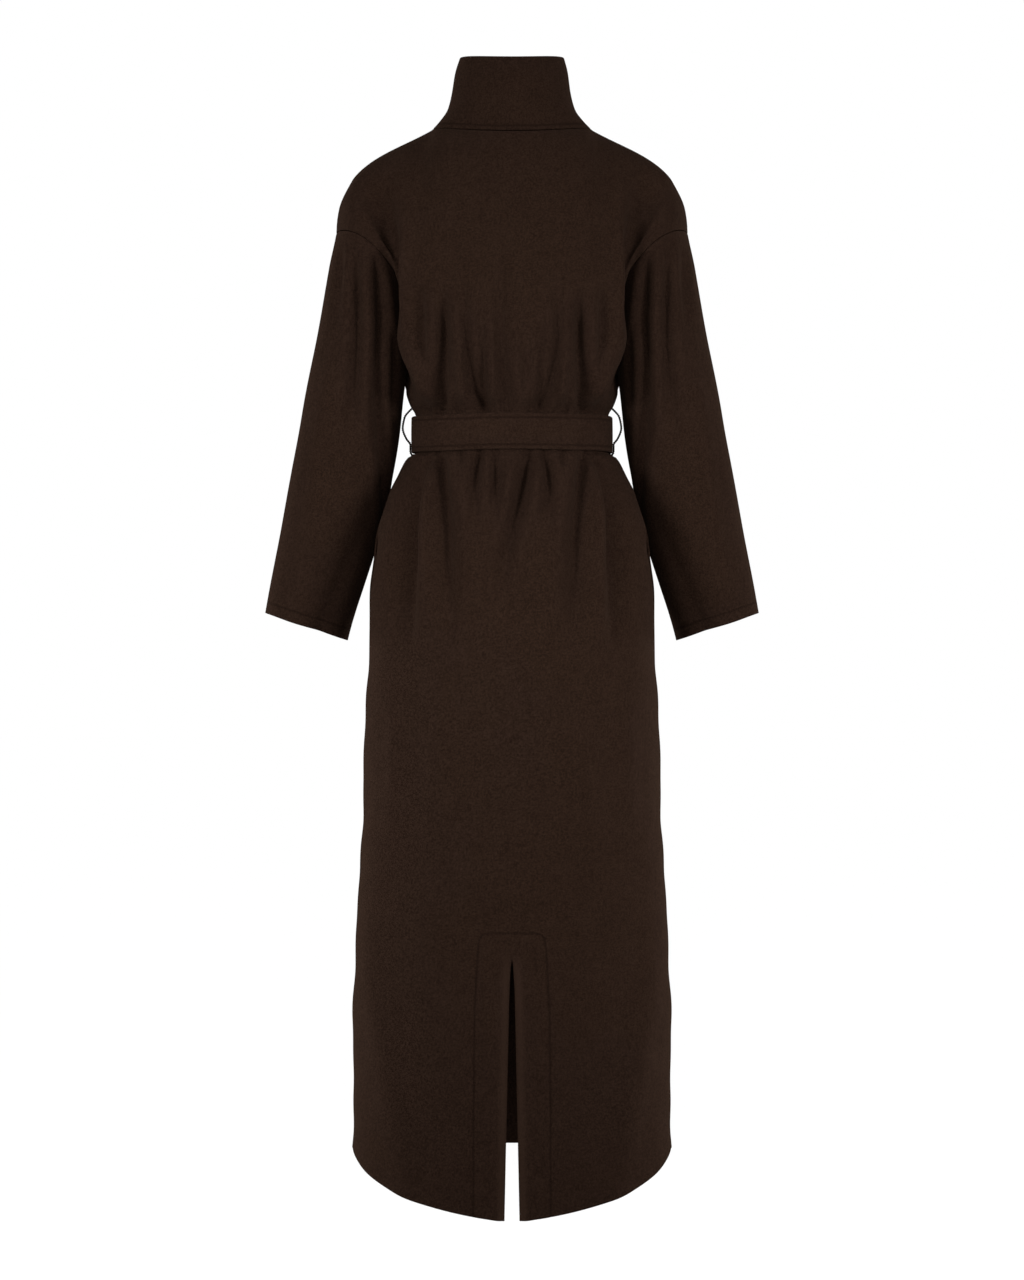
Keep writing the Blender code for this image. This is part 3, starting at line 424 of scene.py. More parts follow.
def sideSeam(row):
    share = smoothStep((armpitZ - np.minimum(row, armpitZ)) / sideRun)
    return np.where(row >= 0, sideTop, sideTop + (sideHip - sideTop) * share)


def seamStep(row):
    return np.degrees(0.5 * seamGap / bodyForm["halfWidth"](np.where(row >= 0, armpitZ, row)))


def pocketGape(row):
    inside = np.minimum(pocket["top"] - row, row - pocket["end"])
    return pocket["gape"] * smoothStep(inside / pocket["slope"])


def lapAngle(row):
    width = bodyForm["halfWidth"](np.where(row >= 0, armpitZ, row))
    below = np.degrees(np.arcsin(lapWidth / (middleSpread * width)))
    atNeck = np.degrees(np.arcsin(neck["lap"] / neck["halfWidth"])) * neckAngle / 90
    return np.where(row >= 0, atNeck + (below - atNeck) * smoothStep(np.clip(row, 0, 1)), below)


def lapInset(angle, lap):
    return (wall + layerGap) * smoothStep((angle - 180 + lap + lapBlend) / lapBlend)


upperCount = 57
rowRuns = [(armpitZ, -343, 28), (-343, -389, 11), (-389, -620, 53), (-620, -920, 43), (-920, hemRow, 71)]
upperShares = np.concatenate([[seamShare], np.linspace(0, 1, upperCount + 1)[1:]])
lowerRows = [np.linspace(top, end, count + 1)[1:] for top, end, count in rowRuns]
panelRows = np.concatenate([upperShares] + lowerRows)


# Materials
class Socket:  # wraps a shader socket, so that sums of sockets read as sums
    def __init__(self, tree, link):
        self.tree, self.link = tree, link

    def node(self, kind, settings=None, sockets=None, out=0):
        made = self.tree.nodes.new(kind)
        for name, value in (settings or {}).items():
            setattr(made, name, value)
        for name, value in (sockets or {}).items():
            if isinstance(value, Socket):
                self.tree.links.new(value.link, made.inputs[name])
            else:
                made.inputs[name].default_value = value
        return Socket(self.tree, made.outputs[out])

    def maths(self, operation, *values):
        return self.node("ShaderNodeMath", {"operation": operation}, dict(enumerate(values)))

    def __add__(self, other):
        return self.maths("ADD", self, other)

    def __sub__(self, other):
        return self.maths("SUBTRACT", self, other)

    def __mul__(self, other):
        return self.maths("MULTIPLY", self, other)

    def __truediv__(self, other):
        return self.maths("DIVIDE", self, other)

    def __rsub__(self, other):
        return self.maths("SUBTRACT", other, self)

    def __rtruediv__(self, other):
        return self.maths("DIVIDE", other, self)

    __radd__ = __add__
    __rmul__ = __mul__

    def hump(self):  # one at zero, falling away both sides
        return self.maths("EXPONENT", self * self * -1.0)

    def ramp(self, low, high):
        sockets = {"Value": self, "From Min": low, "From Max": high}
        return self.node("ShaderNodeMapRange", {"interpolation_type": "SMOOTHSTEP"}, sockets)

    def mix(self, first, second):
        sockets = {"Factor": self, 6: first, 7: second}
        return self.node("ShaderNodeMix", {"data_type": "RGBA"}, sockets, out=2)

    def noise(self, scale, detail, rough=0.5):
        sockets = {"Vector": self, "Scale": scale, "Detail": detail, "Roughness": rough}
        return self.node("ShaderNodeTexNoise", {"noise_dimensions": "3D"}, sockets)

    def painted(self, name):  # a value kept on the mesh's points
        return self.node("ShaderNodeAttribute", {"attribute_name": name}, out=2)


def startMaterial(name, constants):
    material = bpy.data.materials.new(name)
    material.use_nodes = True
    tree = material.node_tree
    shader = tree.nodes["Principled BSDF"]
    for socket, value in constants.items():
        shader.inputs[socket].default_value = value
    return material, shader, Socket(tree, None)


woolLook = {
    "dark": (0.0053, 0.0028, 0.0019, 1), "light": (0.0127, 0.0071, 0.0049, 1),
    # the second colour on the next line is a painted highlight for the slit's edges
    "fibre": (0.040, 0.025, 0.0174, 1), "worn": (0.0205, 0.0117, 0.0080, 1),
    # the first colour on the next line is painted shade for the stitch grooves
    "seam": (0.0025, 0.0013, 0.0009, 1), "stitch": (0.0091, 0.0051, 0.0036, 1),
    "cloud": (38.0, 3.0), "fleck": (420.0, 3.0, 0.6), "fuzz": (1000.0, 2.0, 0.6), "lint": (560.0, 1.0),
    "lintTurn": (0.4, 0.2, 0.9), "lintStretch": (1.0, 1.0, 3.4),
    "grooveWide": 1.15, "stitchWide": 0.42, "stitchLong": 3.4, "nap": 0.00016, "bump": 0.6,
}
woolSurface = {
    "Roughness": 0.95, "Specular IOR Level": 0.0,
    "Sheen Weight": 0.010, "Sheen Roughness": 0.55, "Sheen Tint": (0.80, 0.58, 0.44, 1),
}


def makeWool():
    material, shader, start = startMaterial("feltedWool", woolSurface)
    place = start.node("ShaderNodeTexCoord", out=3)
    cloud, fleck, fuzz = (place.noise(*woolLook[grain]) for grain in ("cloud", "fleck", "fuzz"))
    slanted = {"Vector": place, "Rotation": woolLook["lintTurn"], "Scale": woolLook["lintStretch"]}
    lint = start.node("ShaderNodeMapping", {}, slanted).noise(*woolLook["lint"])
    across, along = start.painted("stitchAcross"), start.painted("stitchAlong")
    groove = (across / woolLook["grooveWide"]).hump()
    beat = start.maths("SINE", along * (2 * math.pi / woolLook["stitchLong"]))
    stitch = (across / woolLook["stitchWide"]).hump() * beat.ramp(-0.25, 0.15)
    tone = cloud * 0.05 + fleck * 0.40 + fuzz * 0.55
    colour = tone.ramp(0.40, 0.60).mix(woolLook["dark"], woolLook["light"])
    colour = (lint.ramp(0.70, 0.80) * 0.55).mix(colour, woolLook["fibre"])
    # painted highlight: a lighter tone along the slit's edges, where the rolled edges catch the light
    colour = start.painted("wornNap").mix(colour, woolLook["worn"])
    # painted shade: the stitch grooves are painted darker than the cloth around them
    colour = (groove * 0.6).mix(colour, woolLook["seam"])
    colour = (stitch * 0.8).mix(colour, woolLook["stitch"])
    height = fuzz * 0.45 + fleck * 0.55 + lint * 0.35 - groove * 3.2 + stitch * 2.2
    relief = {"Strength": woolLook["bump"], "Distance": woolLook["nap"], "Height": height}
    start.tree.links.new(colour.link, shader.inputs["Base Color"])
    start.tree.links.new(start.node("ShaderNodeBump", {}, relief).link, shader.inputs["Normal"])
    return material


threadLook = {
    "dark": (0.0020, 0.0014, 0.0011, 1), "light": (0.0050, 0.0034, 0.0028, 1), "fuzz": (1600.0, 2.0),
}
threadSurface = {"Roughness": 0.8, "Specular IOR Level": 0.0}


def makeThread():
    material, shader, start = startMaterial("carrierThread", threadSurface)
    fuzz = start.node("ShaderNodeTexCoord", out=3).noise(*threadLook["fuzz"])
    colour = fuzz.ramp(0.3, 0.7).mix(threadLook["dark"], threadLook["light"])
    start.tree.links.new(colour.link, shader.inputs["Base Color"])
    return material


wool, thread = makeWool(), makeThread()
print("materials made")

# Meshes
softEdge = {"width": 0.85, "segments": 2, "angle": 55.0}


def addPiece(name, vertices, faces, material, attributes=None, bevel=0.0):
    mesh = bpy.data.meshes.new(name)
    mesh.from_pydata((np.asarray(vertices) * mm).tolist(), [], [[int(k) for k in face] for face in faces])
    mesh.materials.append(material)
    for key, values in (attributes or {}).items():
        layer = mesh.attributes.new(key, "FLOAT", "POINT")
        layer.data.foreach_set("value", np.asarray(values, np.float32).ravel())
    mesh.validate()
    mesh.shade_smooth()
    piece = bpy.data.objects.new(name, mesh)
    bpy.context.scene.collection.objects.link(piece)
    if bevel:
        rounding = piece.modifiers.new("softEdge", "BEVEL")
        rounding.width, rounding.segments = bevel * mm, softEdge["segments"]
        rounding.limit_method, rounding.angle_limit = "ANGLE", math.radians(softEdge["angle"])
        rounding.use_clamp_overlap = True
    return piece


def gridIndex(shape):
    return np.arange(shape[0] * shape[1]).reshape(shape[:2])


def gridFaces(index, skip=None, wrap=False):  # corners of each quad of an index grid
    columns = index.shape[1]
    kept = [i for i in range(columns if wrap else columns - 1) if i != skip]
    left, right = index[:, kept], index[:, [(i + 1) % columns for i in kept]]
    return np.stack([left[:-1], left[1:], right[1:], right[:-1]], axis=-1).reshape(-1, 4)


def slitFaces(shape, whole):  # in the whole rows, above the slit, the two middle columns share their points
    index = gridIndex(shape)
    right = shape[1] // 2
    index[:whole, right] = index[:whole, right - 1]
    return gridFaces(index, skip=right - 1)


def noStitch(count):
    far = np.full(count, farOff)
    return {"stitchAcross": far, "stitchAlong": far}


def shellPiece(name, outer, inner, faces, attributes=None, side="right", flip=False, bevel=softEdge["width"]):
    outer, inner = (grid.reshape(-1, 3) * (sideSign(side), 1, 1) for grid in (outer, inner))
    count = len(outer)
    if flip:
        faces = faces[:, ::-1]
    edges = np.stack([faces, np.roll(faces, -1, axis=1)], axis=-1).reshape(-1, 2)
    code, reverse = edges[:, 0] * count + edges[:, 1], edges[:, 1] * count + edges[:, 0]
    rim = edges[~np.isin(code, reverse)]
    sides = np.stack([rim[:, 1], rim[:, 0], rim[:, 0] + count, rim[:, 1] + count], axis=-1)
    every = np.concatenate([faces, faces[:, ::-1] + count, sides])
    used, place = np.unique(every, return_inverse=True)
    points = np.concatenate([outer, inner])[used]
    doubled = {}
    for key, value in (attributes or noStitch(count)).items():
        # the inner wall gets no painted highlight
        inside = np.full(count, 0.0 if key == "wornNap" else farOff)
        doubled[key] = np.concatenate([np.ravel(value), inside])[used]
    return addPiece(name, points, place.reshape(-1, 4), wool, doubled, bevel)


def finishPiece(piece, node):
    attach(piece, "root")
    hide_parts(node)
    print("made", piece.name, len(piece.data.polygons))


def mitred(normal, angle, row):  # on the shoulder seam the two walls meet along one plane
    onShoulder = (row >= 0) & (row <= seamShare) & (np.abs(foldedAngle(angle) - 90) < 90 - neckAngle)
    return np.where(onShoulder[..., None], unit(normal * (1, 0, 1)), normal)


relax = {"wide": 16.0, "start": 0.10, "end": 0.50, "fade": 0.35, "pull": 0.5, "rounds": 90}


def relaxed(points, angle, row):  # eases the line that runs down from each neck point
    folded = foldedAngle(angle)
    near = bell((np.minimum(folded, 180 - folded) - neckAngle) / relax["wide"])
    above = smoothStep(row / relax["start"]) * (1 - smoothStep((row - relax["end"]) / relax["fade"]))
    weight = (relax["pull"] * near * np.where(row >= 0, above, 0.0))[1:-1, 1:-1, None]
    points = points.copy()
    for _ in range(relax["rounds"]):
        mean = points[:-2, 1:-1] + points[2:, 1:-1] + points[1:-1, :-2] + points[1:-1, 2:]
        points[1:-1, 1:-1] += weight * (0.25 * mean - points[1:-1, 1:-1])
    return points


def cloth(angle, rows, front, thickness, inset=0.0):
    row = np.repeat(rows[:, None], angle.shape[1], axis=1)
    outer = relaxed(coatPoint(angle, row, np.full(row.shape, front)), angle, row)
    normal = mitred(gridNormals(outer), angle, row)
    outer = outer - normal * np.broadcast_to(np.asarray(inset), row.shape)[..., None]
    return outer, outer - normal * thickness


def twoHalves(slit, edge, half):  # angles from one edge over the slit to the other edge
    right = slit[:, None] + (edge - slit)[:, None] * half[None, :]
    return np.concatenate([-right[:, ::-1], right], axis=1)


backPiece = {"columns": 82, "spacing": ((0, 0.74, 1), (0, 0.6, 1)), "flat": (0.53, 1.33), "area": 0.55}
wornEdge = {"share": 0.50, "at": 4.0, "wide": 4.5, "lead": 14.0, "run": 30.0}  # painted highlight along both edges of the slit, where the rolled edges catch the light


def makeBack():
    rows = panelRows
    half = np.interp(np.linspace(0, 1, backPiece["columns"]), *backPiece["spacing"])
    angle = twoHalves(ventAngle(rows), sideSeam(rows) - seamStep(rows) - pocketGape(rows), half)
    outer, inner = cloth(angle, rows, False, wall)
    x, z = outer[..., 0], outer[..., 2]
    across, along = facingDistance(x, z)
    # painted highlight beside the slit, fading out above the slit's top
    worn = wornEdge["share"] * bell((np.abs(x) - ventHalfGap(z) - wornEdge["at"]) / wornEdge["wide"])
    worn = worn * smoothStep((vent["top"] + wornEdge["lead"] - z) / wornEdge["run"])
    marks = {"stitchAcross": across, "stitchAlong": along, "wornNap": worn * (np.abs(angle) < ventReach)}
    faces = slitFaces(angle.shape, int(np.sum(rows >= backRow(vent["top"]))))
    piece = shellPiece("coatBack", outer, inner, faces, marks)
    finishPiece(piece, "back")


frontPiece = {"columns": 62, "lapColumns": 13, "flat": (0.38, 1.28), "area": 0.38}


def makeFront(side):
    rows = panelRows
    seam = (sideSeam(rows) + seamStep(rows))[:, None]
    lap = lapAngle(rows)[:, None]
    main = np.linspace(0, 1, frontPiece["columns"])[None, :]
    past = np.linspace(0, 1, frontPiece["lapColumns"] + 1)[None, 1:]
    angle = np.concatenate([seam + (180 - seam) * main, 180 + lap * past], axis=1)
    inset = lapInset(angle, lap) if side == "left" else 0.0
    outer, inner = cloth(angle, rows, True, wall, inset)
    faces = gridFaces(gridIndex(angle.shape))
    piece = shellPiece("coatFront" + side.title(), outer, inner, faces, side=side, flip=side == "left")
    finishPiece(piece, "front_" + side)


sleeveRings = [  # x y z halfWidth halfDepth tilt
    (172.5, 3, -215, 58.2, 56, 30.5),
    (180.5, 6, -271, 57.5, 57, 19.0),
    (193, 14, -344, 60.5, 57, 9.0),
    (210.5, 29, -441.5, 59.5, 56, 13.0),
    (232.5, 46, -527, 56.5, 53, 17.7),
    (249.5, 62, -596, 53.5, 50, 18.3),
]
sleeveCreases = [  # like the body's, with shares of the length and turns from the outer side over the back
    ([(0.0, 104, 0), (0.06, 107, 8), (0.22, 112, 9.5), (0.36, 120, 9),
      (0.46, 132, 8), (0.56, 147, 6), (0.66, 168, 3), (0.74, 176, 0)], 9.5, 1.0, 1),
    ([(0.14, 128, 0), (0.22, 133, 4), (0.30, 138, 4.5), (0.37, 143, 4), (0.46, 152, 0)], 6.0, 1.0, 1),
    ([(0.02, 64, 0), (0.09, 71, 7), (0.16, 77, 10),
      (0.24, 84, 10), (0.36, 90, 9), (0.52, 95, 0)], 8.0, 1.0, 1),
    ([(0.24, 54, 0), (0.42, 58, -3.4), (0.72, 65, -3.4), (0.98, 70, 0)], 11.0, 1.0, 1),
    ([(0.60, 142, 0), (0.80, 126, 3), (1.0, 110, 4)], 20.0, 1.0, 1),
    ([(0.03, 40, 0), (0.11, 45, 4), (0.26, 53, 0)], 9.0, 1.0, 1),
    ([(0.10, 256, 0), (0.25, 248, 8), (0.50, 236, 8), (0.72, 226, 0)], 10.0, 1.0, 1),
    ([(0.16, 288, 0), (0.30, 283, 6), (0.60, 268, 0)], 9.0, 1.0, 1),
    ([(0.30, 305, 0), (0.50, 300, -2.6), (0.95, 292, 0)], 12.0, 1.0, 1),
]
sleeveWaves = [(0.8, 41.0, 2, 0.0), (0.5, 23.0, 3, 1.0)]  # height, pace down, turns round, start
sleevePiece = {
    "rows": 108, "length": 470.0, "waveStart": 0.1, "cuffStitch": 14.0, "stitchPace": 0.95,
    "flat": (0.40, 0.54), "area": 0.165,
}


def ringPoints(ring, turn):
    x, y, z, halfWidth, halfDepth, tilt = ring
    tilt = math.radians(tilt)
    across = np.cos(np.radians(turn))[:, None] * halfWidth * np.array([math.cos(tilt), 0, math.sin(tilt)])
    through = np.sin(np.radians(turn))[:, None] * halfDepth * np.array([0, -1.0, 0])
    return np.array([x, y, z]) + across + through


def makeSleeve(side):
    shares = np.concatenate([[0.0], upperShares[1:]])
    edge = np.full(len(shares), 90.0)
    loops = [coatPoint(edge, shares, np.full(len(shares), isFront)) for isFront in (False, True)]
    loop = np.concatenate([loops[0], loops[1][-2:0:-1]])
    turn = np.concatenate([180 * shares, 360 - 180 * shares[-2:0:-1]])
    rings = [loop] + [ringPoints(ring, turn) for ring in sleeveRings]
    lengths = [np.linalg.norm((b - a).mean(axis=0)) for a, b in zip(rings, rings[1:])]
    stations = np.concatenate([[0], np.cumsum(lengths)]) / sum(lengths)
    rings[0] = loop + 2 * seamGap * unit(rings[1] - loop)
    share = np.linspace(0, 1, sleevePiece["rows"])[:, None]
    plain = curveThrough(stations, rings)(share[:, 0])
    outward = -gridNormals(plain, wrap=True)
    out = -lineDepth(creaseLines(sleeveCreases), turn[None, :], share)
    around = np.radians(turn)[None, :]
    for high, pace, turns, start in sleeveWaves:
        wave = high * np.sin(share * sleevePiece["length"] / pace + turns * around + start)
        out += smoothStep(share / sleevePiece["waveStart"]) * wave
    outer = plain + outward * out[..., None]
    inner = outer + gridNormals(outer, wrap=True) * wall
    across = np.broadcast_to((1 - share) * sum(lengths) - sleevePiece["cuffStitch"], out.shape)
    along = np.broadcast_to(turn[None, :] * sleevePiece["stitchPace"], out.shape)
    marks = {"stitchAcross": across, "stitchAlong": along}
    faces = gridFaces(gridIndex(out.shape), wrap=True)
    piece = shellPiece("sleeve" + side.title(), outer, inner, faces, marks, side=side, flip=side == "right")
    finishPiece(piece, "sleeve_" + side)


collarForm = tableCurves("share halfWidth back front", [
    (0.00, 95.5, 66.0, 80), (0.12, 86, 65.5, 76), (0.28, 76.5, 65.0, 72),
    (0.50, 71.5, 63.5, 70), (0.80, 67.5, 61.0, 68), (1.00, 62.5, 58.5, 66),
])
collarPiece = {
    "top": 86.0, "frontFall": 55.0, "backFall": 5.5, "stitch": 6.0, "rows": 26, "columns": 150,
    "flat": (0.60, 0.12), "area": 0.056,
}
collarDents = {"wide": 0.7, "small": 1.2, "end": 175.0, "run": 40.0}


def collarPoint(turn, share):
    sine, cosine = np.sin(np.radians(turn)), np.cos(np.radians(turn))
    base = neckPoint(np.abs(turn))[..., 2]
    top = collarPiece["top"] - collarPiece["frontFall"] * np.clip(-cosine, 0, 1) ** 1.5
    top = top - collarPiece["backFall"] * np.clip(cosine, 0, 1) ** 2
    x = collarForm["halfWidth"](share) * sine
    y = -cosine * np.where(cosine > 0, collarForm["back"](share), collarForm["front"](share))
    return np.stack([x, y, base + (top - base) * share], axis=-1)


def makeCollar():
    lap = np.degrees(np.arcsin(neck["lap"] / neck["halfWidth"]))
    turn, share = np.meshgrid(
        np.linspace(-180 - lap, 180 + lap, collarPiece["columns"]),
        np.linspace(1, 3 * seamGap / collarPiece["top"], collarPiece["rows"]),
    )
    plain = collarPoint(turn, share)
    around = np.radians(turn)
    dents = collarDents["wide"] * np.sin(3 * around + 0.6) * np.sin(math.pi * share)
    dents = dents + collarDents["small"] * np.sin(7 * around) * share * (1 - share)
    dents = dents * np.clip((collarDents["end"] - np.abs(turn)) / collarDents["run"], 0, 1)
    inset = np.where(turn < 0, lapInset(np.abs(turn), lap), 0.0)
    outer = plain + gridNormals(plain) * (dents - inset)[..., None]
    inner = outer - gridNormals(outer) * wall
    across = outer[..., 2] - neckPoint(np.abs(turn))[..., 2] - collarPiece["stitch"]
    marks = {"stitchAcross": across, "stitchAlong": around * neck["halfWidth"]}
    piece = shellPiece("collarStand", outer, inner, gridFaces(gridIndex(turn.shape)), marks)
    finishPiece(piece, "collar")


facingPiece = {
    "topRows": 14, "slitRows": 74, "columns": 13, "bevel": 0.6, "flat": (0.09, 0.34), "area": 0.027,
}


def makeFacing():
    aboveSlit = np.linspace(facing["top"], vent["top"], facingPiece["topRows"])
    besideSlit = np.linspace(vent["top"], hem["backCentre"], facingPiece["slitRows"])
    heights = np.concatenate([aboveSlit, besideSlit[1:]])
    rows = backRow(heights)
    radius = facing["corner"]
    drop = np.clip(facing["top"] - heights, 0, radius)
    cornerCut = radius - np.sqrt(np.maximum(radius ** 2 - (radius - drop) ** 2, 0))
    edge = np.degrees((facingHalf(heights) - cornerCut) / (middleSpread * bodyForm["halfWidth"](heights)))
    angle = twoHalves(ventAngle(rows), edge, np.linspace(0, 1, facingPiece["columns"]))
    outer, inner = cloth(angle, rows, False, facing["wall"], wall + seamGap)
    faces = slitFaces(angle.shape, int(np.sum(heights >= vent["top"])))
    piece = shellPiece("ventFacing", outer, inner, faces, bevel=facingPiece["bevel"])
    finishPiece(piece, "vent_facing")


pocketPiece = {
    "rows": 36, "columns": 14, "behind": 13.0, "ahead": 4.0, "ease": 30.0, "bevel": 0.4,
    "flat": (0.05, 0.145), "area": 0.007,
}


def makePocket(side):
    rows = np.linspace(pocket["top"], pocket["end"], pocketPiece["rows"])
    across = np.linspace(-pocketPiece["behind"], pocketPiece["ahead"], pocketPiece["columns"])
    angle = sideSeam(rows)[:, None] + across[None, :]
    inside = smoothStep(np.minimum(pocket["top"] - rows, rows - pocket["end"]) / pocketPiece["ease"])
    inset = wall + pocket["depth"] + pocket["hollow"] * inside[:, None]
    outer, inner = cloth(angle, rows, False, pocket["wall"], inset)
    faces, isLeft = gridFaces(gridIndex(angle.shape)), side == "left"
    name = "pocketFacing" + side.title()
    piece = shellPiece(name, outer, inner, faces, side=side, flip=isLeft, bevel=pocketPiece["bevel"])
    finishPiece(piece, "pocket_facing_" + side)


beltPiece = {
    "columns": 220, "cornerSteps": 5, "sideSteps": 11, "round": 1.6, "stitch": 5.5, "stitchRadius": 105.0,
    "swell": 0.7, "drawn": 0.32, "drawnRun": 44.0, "pinch": 1.5, "pinchWide": 4.0, "faceSlack": 0.3,
    "flat": (0.047, 0.71),
}
beltSway = [(0.5, 2, 0.7), (0.35, 5, 2.0)]  # height, turns round, start


def beltProfile():  # closed outline of the doubled band: out from the body, height from its middle
    half, thick, radius = 0.5 * belt["width"], belt["wall"], beltPiece["round"]
    turns = np.radians(np.linspace(0, 90, beltPiece["cornerSteps"]))
    corner = np.stack([np.cos(turns), np.sin(turns)], axis=-1) * radius
    middle = np.linspace(-half + radius, half - radius, beltPiece["sideSteps"] + 2)[1:-1]
    outerSide = np.stack([np.full(len(middle), thick), middle], axis=-1)
    top = corner + (thick - radius, half - radius)
    innerTop = corner[::-1] * (-1, 1) + (radius, half - radius)
    innerSide = np.stack([np.zeros(len(middle)), middle[::-1]], axis=-1)
    foot = corner * (-1, -1) + (radius, -half + radius)
    outerFoot = corner[::-1] * (1, -1) + (thick - radius, -half + radius)
    return np.concatenate([outerSide, top, innerTop, innerSide, foot, outerFoot])


def makeBelt():
    profile = beltProfile()
    angle = np.linspace(0, 360, beltPiece["columns"], endpoint=False)
    level = np.full(angle.shape, belt["z"])
    ring, before, after = (sectionPoint(angle + step, level) for step in (0, -angleStep, angleStep))
    outward = unit(np.cross(after - before, (0, 0, 1)))
    turn = np.radians(angle)
    sway = sum(high * np.sin(turns * turn + start) for high, turns, start in beltSway)
    swell = 0.5 + 0.5 * np.sin(9 * turn + 1.0) * np.sin(4 * turn)
    out, up = profile[:, 0][None, :], profile[:, 1][None, :]
    tied = (np.where(ring[:, 1] > 0, 1.0, 0.0) * bell(ring[:, 0] / beltPiece["drawnRun"]))[:, None]
    swollen = beltPiece["swell"] * swell[:, None] * np.cos(up / belt["width"] * math.pi)
    swollen = swollen - beltPiece["pinch"] * tied * bell(up / beltPiece["pinchWide"])
    bulge = np.where(out > 0.5 * belt["wall"], swollen, 0)
    points = ring[:, None, :] + outward[:, None, :] * (belt["ease"] + out + bulge)[..., None]
    points[..., 2] = belt["z"] + up * (1 - beltPiece["drawn"] * tied) + sway[:, None]
    along = np.broadcast_to(turn[:, None] * beltPiece["stitchRadius"], points.shape[:2])
    fromStitch = np.abs(up) - 0.5 * belt["width"] + beltPiece["stitch"]
    across = np.where(out > belt["wall"] - beltPiece["faceSlack"], fromStitch, farOff)
    marks = {"stitchAcross": np.broadcast_to(across, along.shape), "stitchAlong": along}
    index = gridIndex(points.shape)
    faces = gridFaces(np.concatenate([index, index[:1]]), wrap=True)
    piece = addPiece("beltBand", points.reshape(-1, 3), faces, wool, marks)
    finishPiece(piece, "belt_band")


knotPiece = {
    "width": 40.0, "height": 52.0, "depth": 19.0, "soft": 0.66, "back": 0.25, "slant": 0.42,
    "foldFrom": 0.6, "nip": 0.03, "sunk": 1.0, "columns": 96, "rows": 73,
}
knotFolds = [(14.5, 4.8, 3.0), (-13.0, 4.4, 3.2), (1.0, 1.4, 2.0)]  # place up the slant, depth, half width
beltFront = bodyForm["front"](belt["z"]) + belt["ease"] + belt["wall"]


def makeKnot():
    around = np.linspace(0, 360, knotPiece["columns"], endpoint=False)
    turns, rises = np.meshgrid(around, np.linspace(-90, 90, knotPiece["rows"]))
    a, b = np.radians(turns), np.radians(rises)
    ball = np.stack([np.cos(a) * np.cos(b), np.sin(a) * np.cos(b), np.sin(b)], axis=-1)
    flatBack = np.where((ball < 0) & (np.arange(3) == 1), knotPiece["back"], knotPiece["soft"])
    shape = np.sign(ball) * np.abs(ball) ** flatBack
    x, y, z = (0.5 * knotPiece[size] * shape[..., k] for k, size in enumerate(("width", "depth", "height")))
    lean = z + knotPiece["slant"] * x
    fold = sum(deep * bell((lean - place) / wide) for place, deep, wide in knotFolds)
    y = y - fold * smoothStep(shape[..., 1] / knotPiece["foldFrom"])
    y = beltFront - knotPiece["sunk"] + 0.5 * knotPiece["depth"] + y
    points = np.stack([x * (1 - knotPiece["nip"] * fold), y, belt["z"] + z], axis=-1).reshape(-1, 3)
    faces = gridFaces(gridIndex(turns.shape), wrap=True)[:, ::-1]
    piece = addPiece("beltKnot", points, faces, wool, noStitch(len(points)))
    finishPiece(piece, "belt_knot")


tailPiece = {
    "length": 420.0, "topX": 24.0, "splay": 22.0, "clear": 6.5, "lead": 90.0, "start": 0.6,
    "cup": 0.9, "cupPace": 52.0, "cupRun": 60.0, "columns": 17, "rows": 110,
    "bevel": 1.5, "flat": (0.047, 0.43),
}
tailGather = {"run": 105.0, "narrow": 0.55, "inward": 0.55, "fold": 1.5, "tuckRun": 30.0, "tuckEnd": 0.92}


def knotUnder(x):  # how far the knot reaches down at x
    power = 2 / knotPiece["soft"]
    share = np.clip(np.abs(x) / (0.5 * knotPiece["width"]), 0, tailGather["tuckEnd"])
    return 0.5 * knotPiece["height"] * (1 - share ** power) ** (1 / power)


def tailPoint(side, across, down):
    gather = 1 - smoothStep(down / tailGather["run"])
    middle = tailPiece["topX"] * (1 - tailGather["inward"] * gather)
    middle = middle + tailPiece["splay"] * down / tailPiece["length"]
    x = side * middle + across * (1 - tailGather["narrow"] * gather)
    under = knotUnder(x)
    under = under + (0.5 * knotPiece["height"] - under) * smoothStep(down / tailGather["tuckRun"])
    z = belt["z"] - under - seamGap - down
    angle = 180 - np.degrees(np.arcsin(x / (middleSpread * bodyForm["halfWidth"](z))))
    front = sectionPoint(angle, z)[..., 1] + tailPiece["clear"]
    atKnot = beltFront + tailPiece["start"] * knotPiece["depth"]
    lead = smoothStep(down / tailPiece["lead"])
    y = np.maximum(atKnot * (1 - lead) + front * lead, front)
    share = across / (0.5 * belt["width"])
    cup = tailPiece["cup"] * np.sin(down / tailPiece["cupPace"] + side) * np.abs(share)
    cup = cup * smoothStep(down / tailPiece["cupRun"])
    fold = tailGather["fold"] * gather * np.cos(math.pi * share)
    return np.stack([x, y + np.abs(cup) - fold, z], axis=-1)


def makeTail(side):
    half, length = 0.5 * belt["width"], tailPiece["length"]
    across, down = np.meshgrid(
        np.linspace(half, -half, tailPiece["columns"]),
        np.linspace(0, length, tailPiece["rows"]),
    )
    outer = tailPoint(sideSign(side), across, down)
    inner = outer - gridNormals(outer) * belt["wall"]
    fromSide, fromEnd = half - np.abs(across), length - down
    marks = {
        "stitchAcross": np.minimum(fromSide, fromEnd) - beltPiece["stitch"],
        "stitchAlong": np.where(fromSide < fromEnd, down, across),
    }
    faces = gridFaces(gridIndex(across.shape))
    piece = shellPiece("beltTail" + side.title(), outer, inner, faces, marks, bevel=tailPiece["bevel"])
    finishPiece(piece, "belt_tail_" + side)


carrier = {
    "top": -332.0, "foot": -390.5, "sewn": 4.0,
    "ply": 0.82, "apart": 0.8, "pitch": 5.0, "steps": 90, "sides": 8,
}
# Out from the belt, and up
carrierRoute = [(8.19, 21), (10.5, 8), (6.51, -4), (1.3, -12), (1.3, -19), (-0.8, -24)]


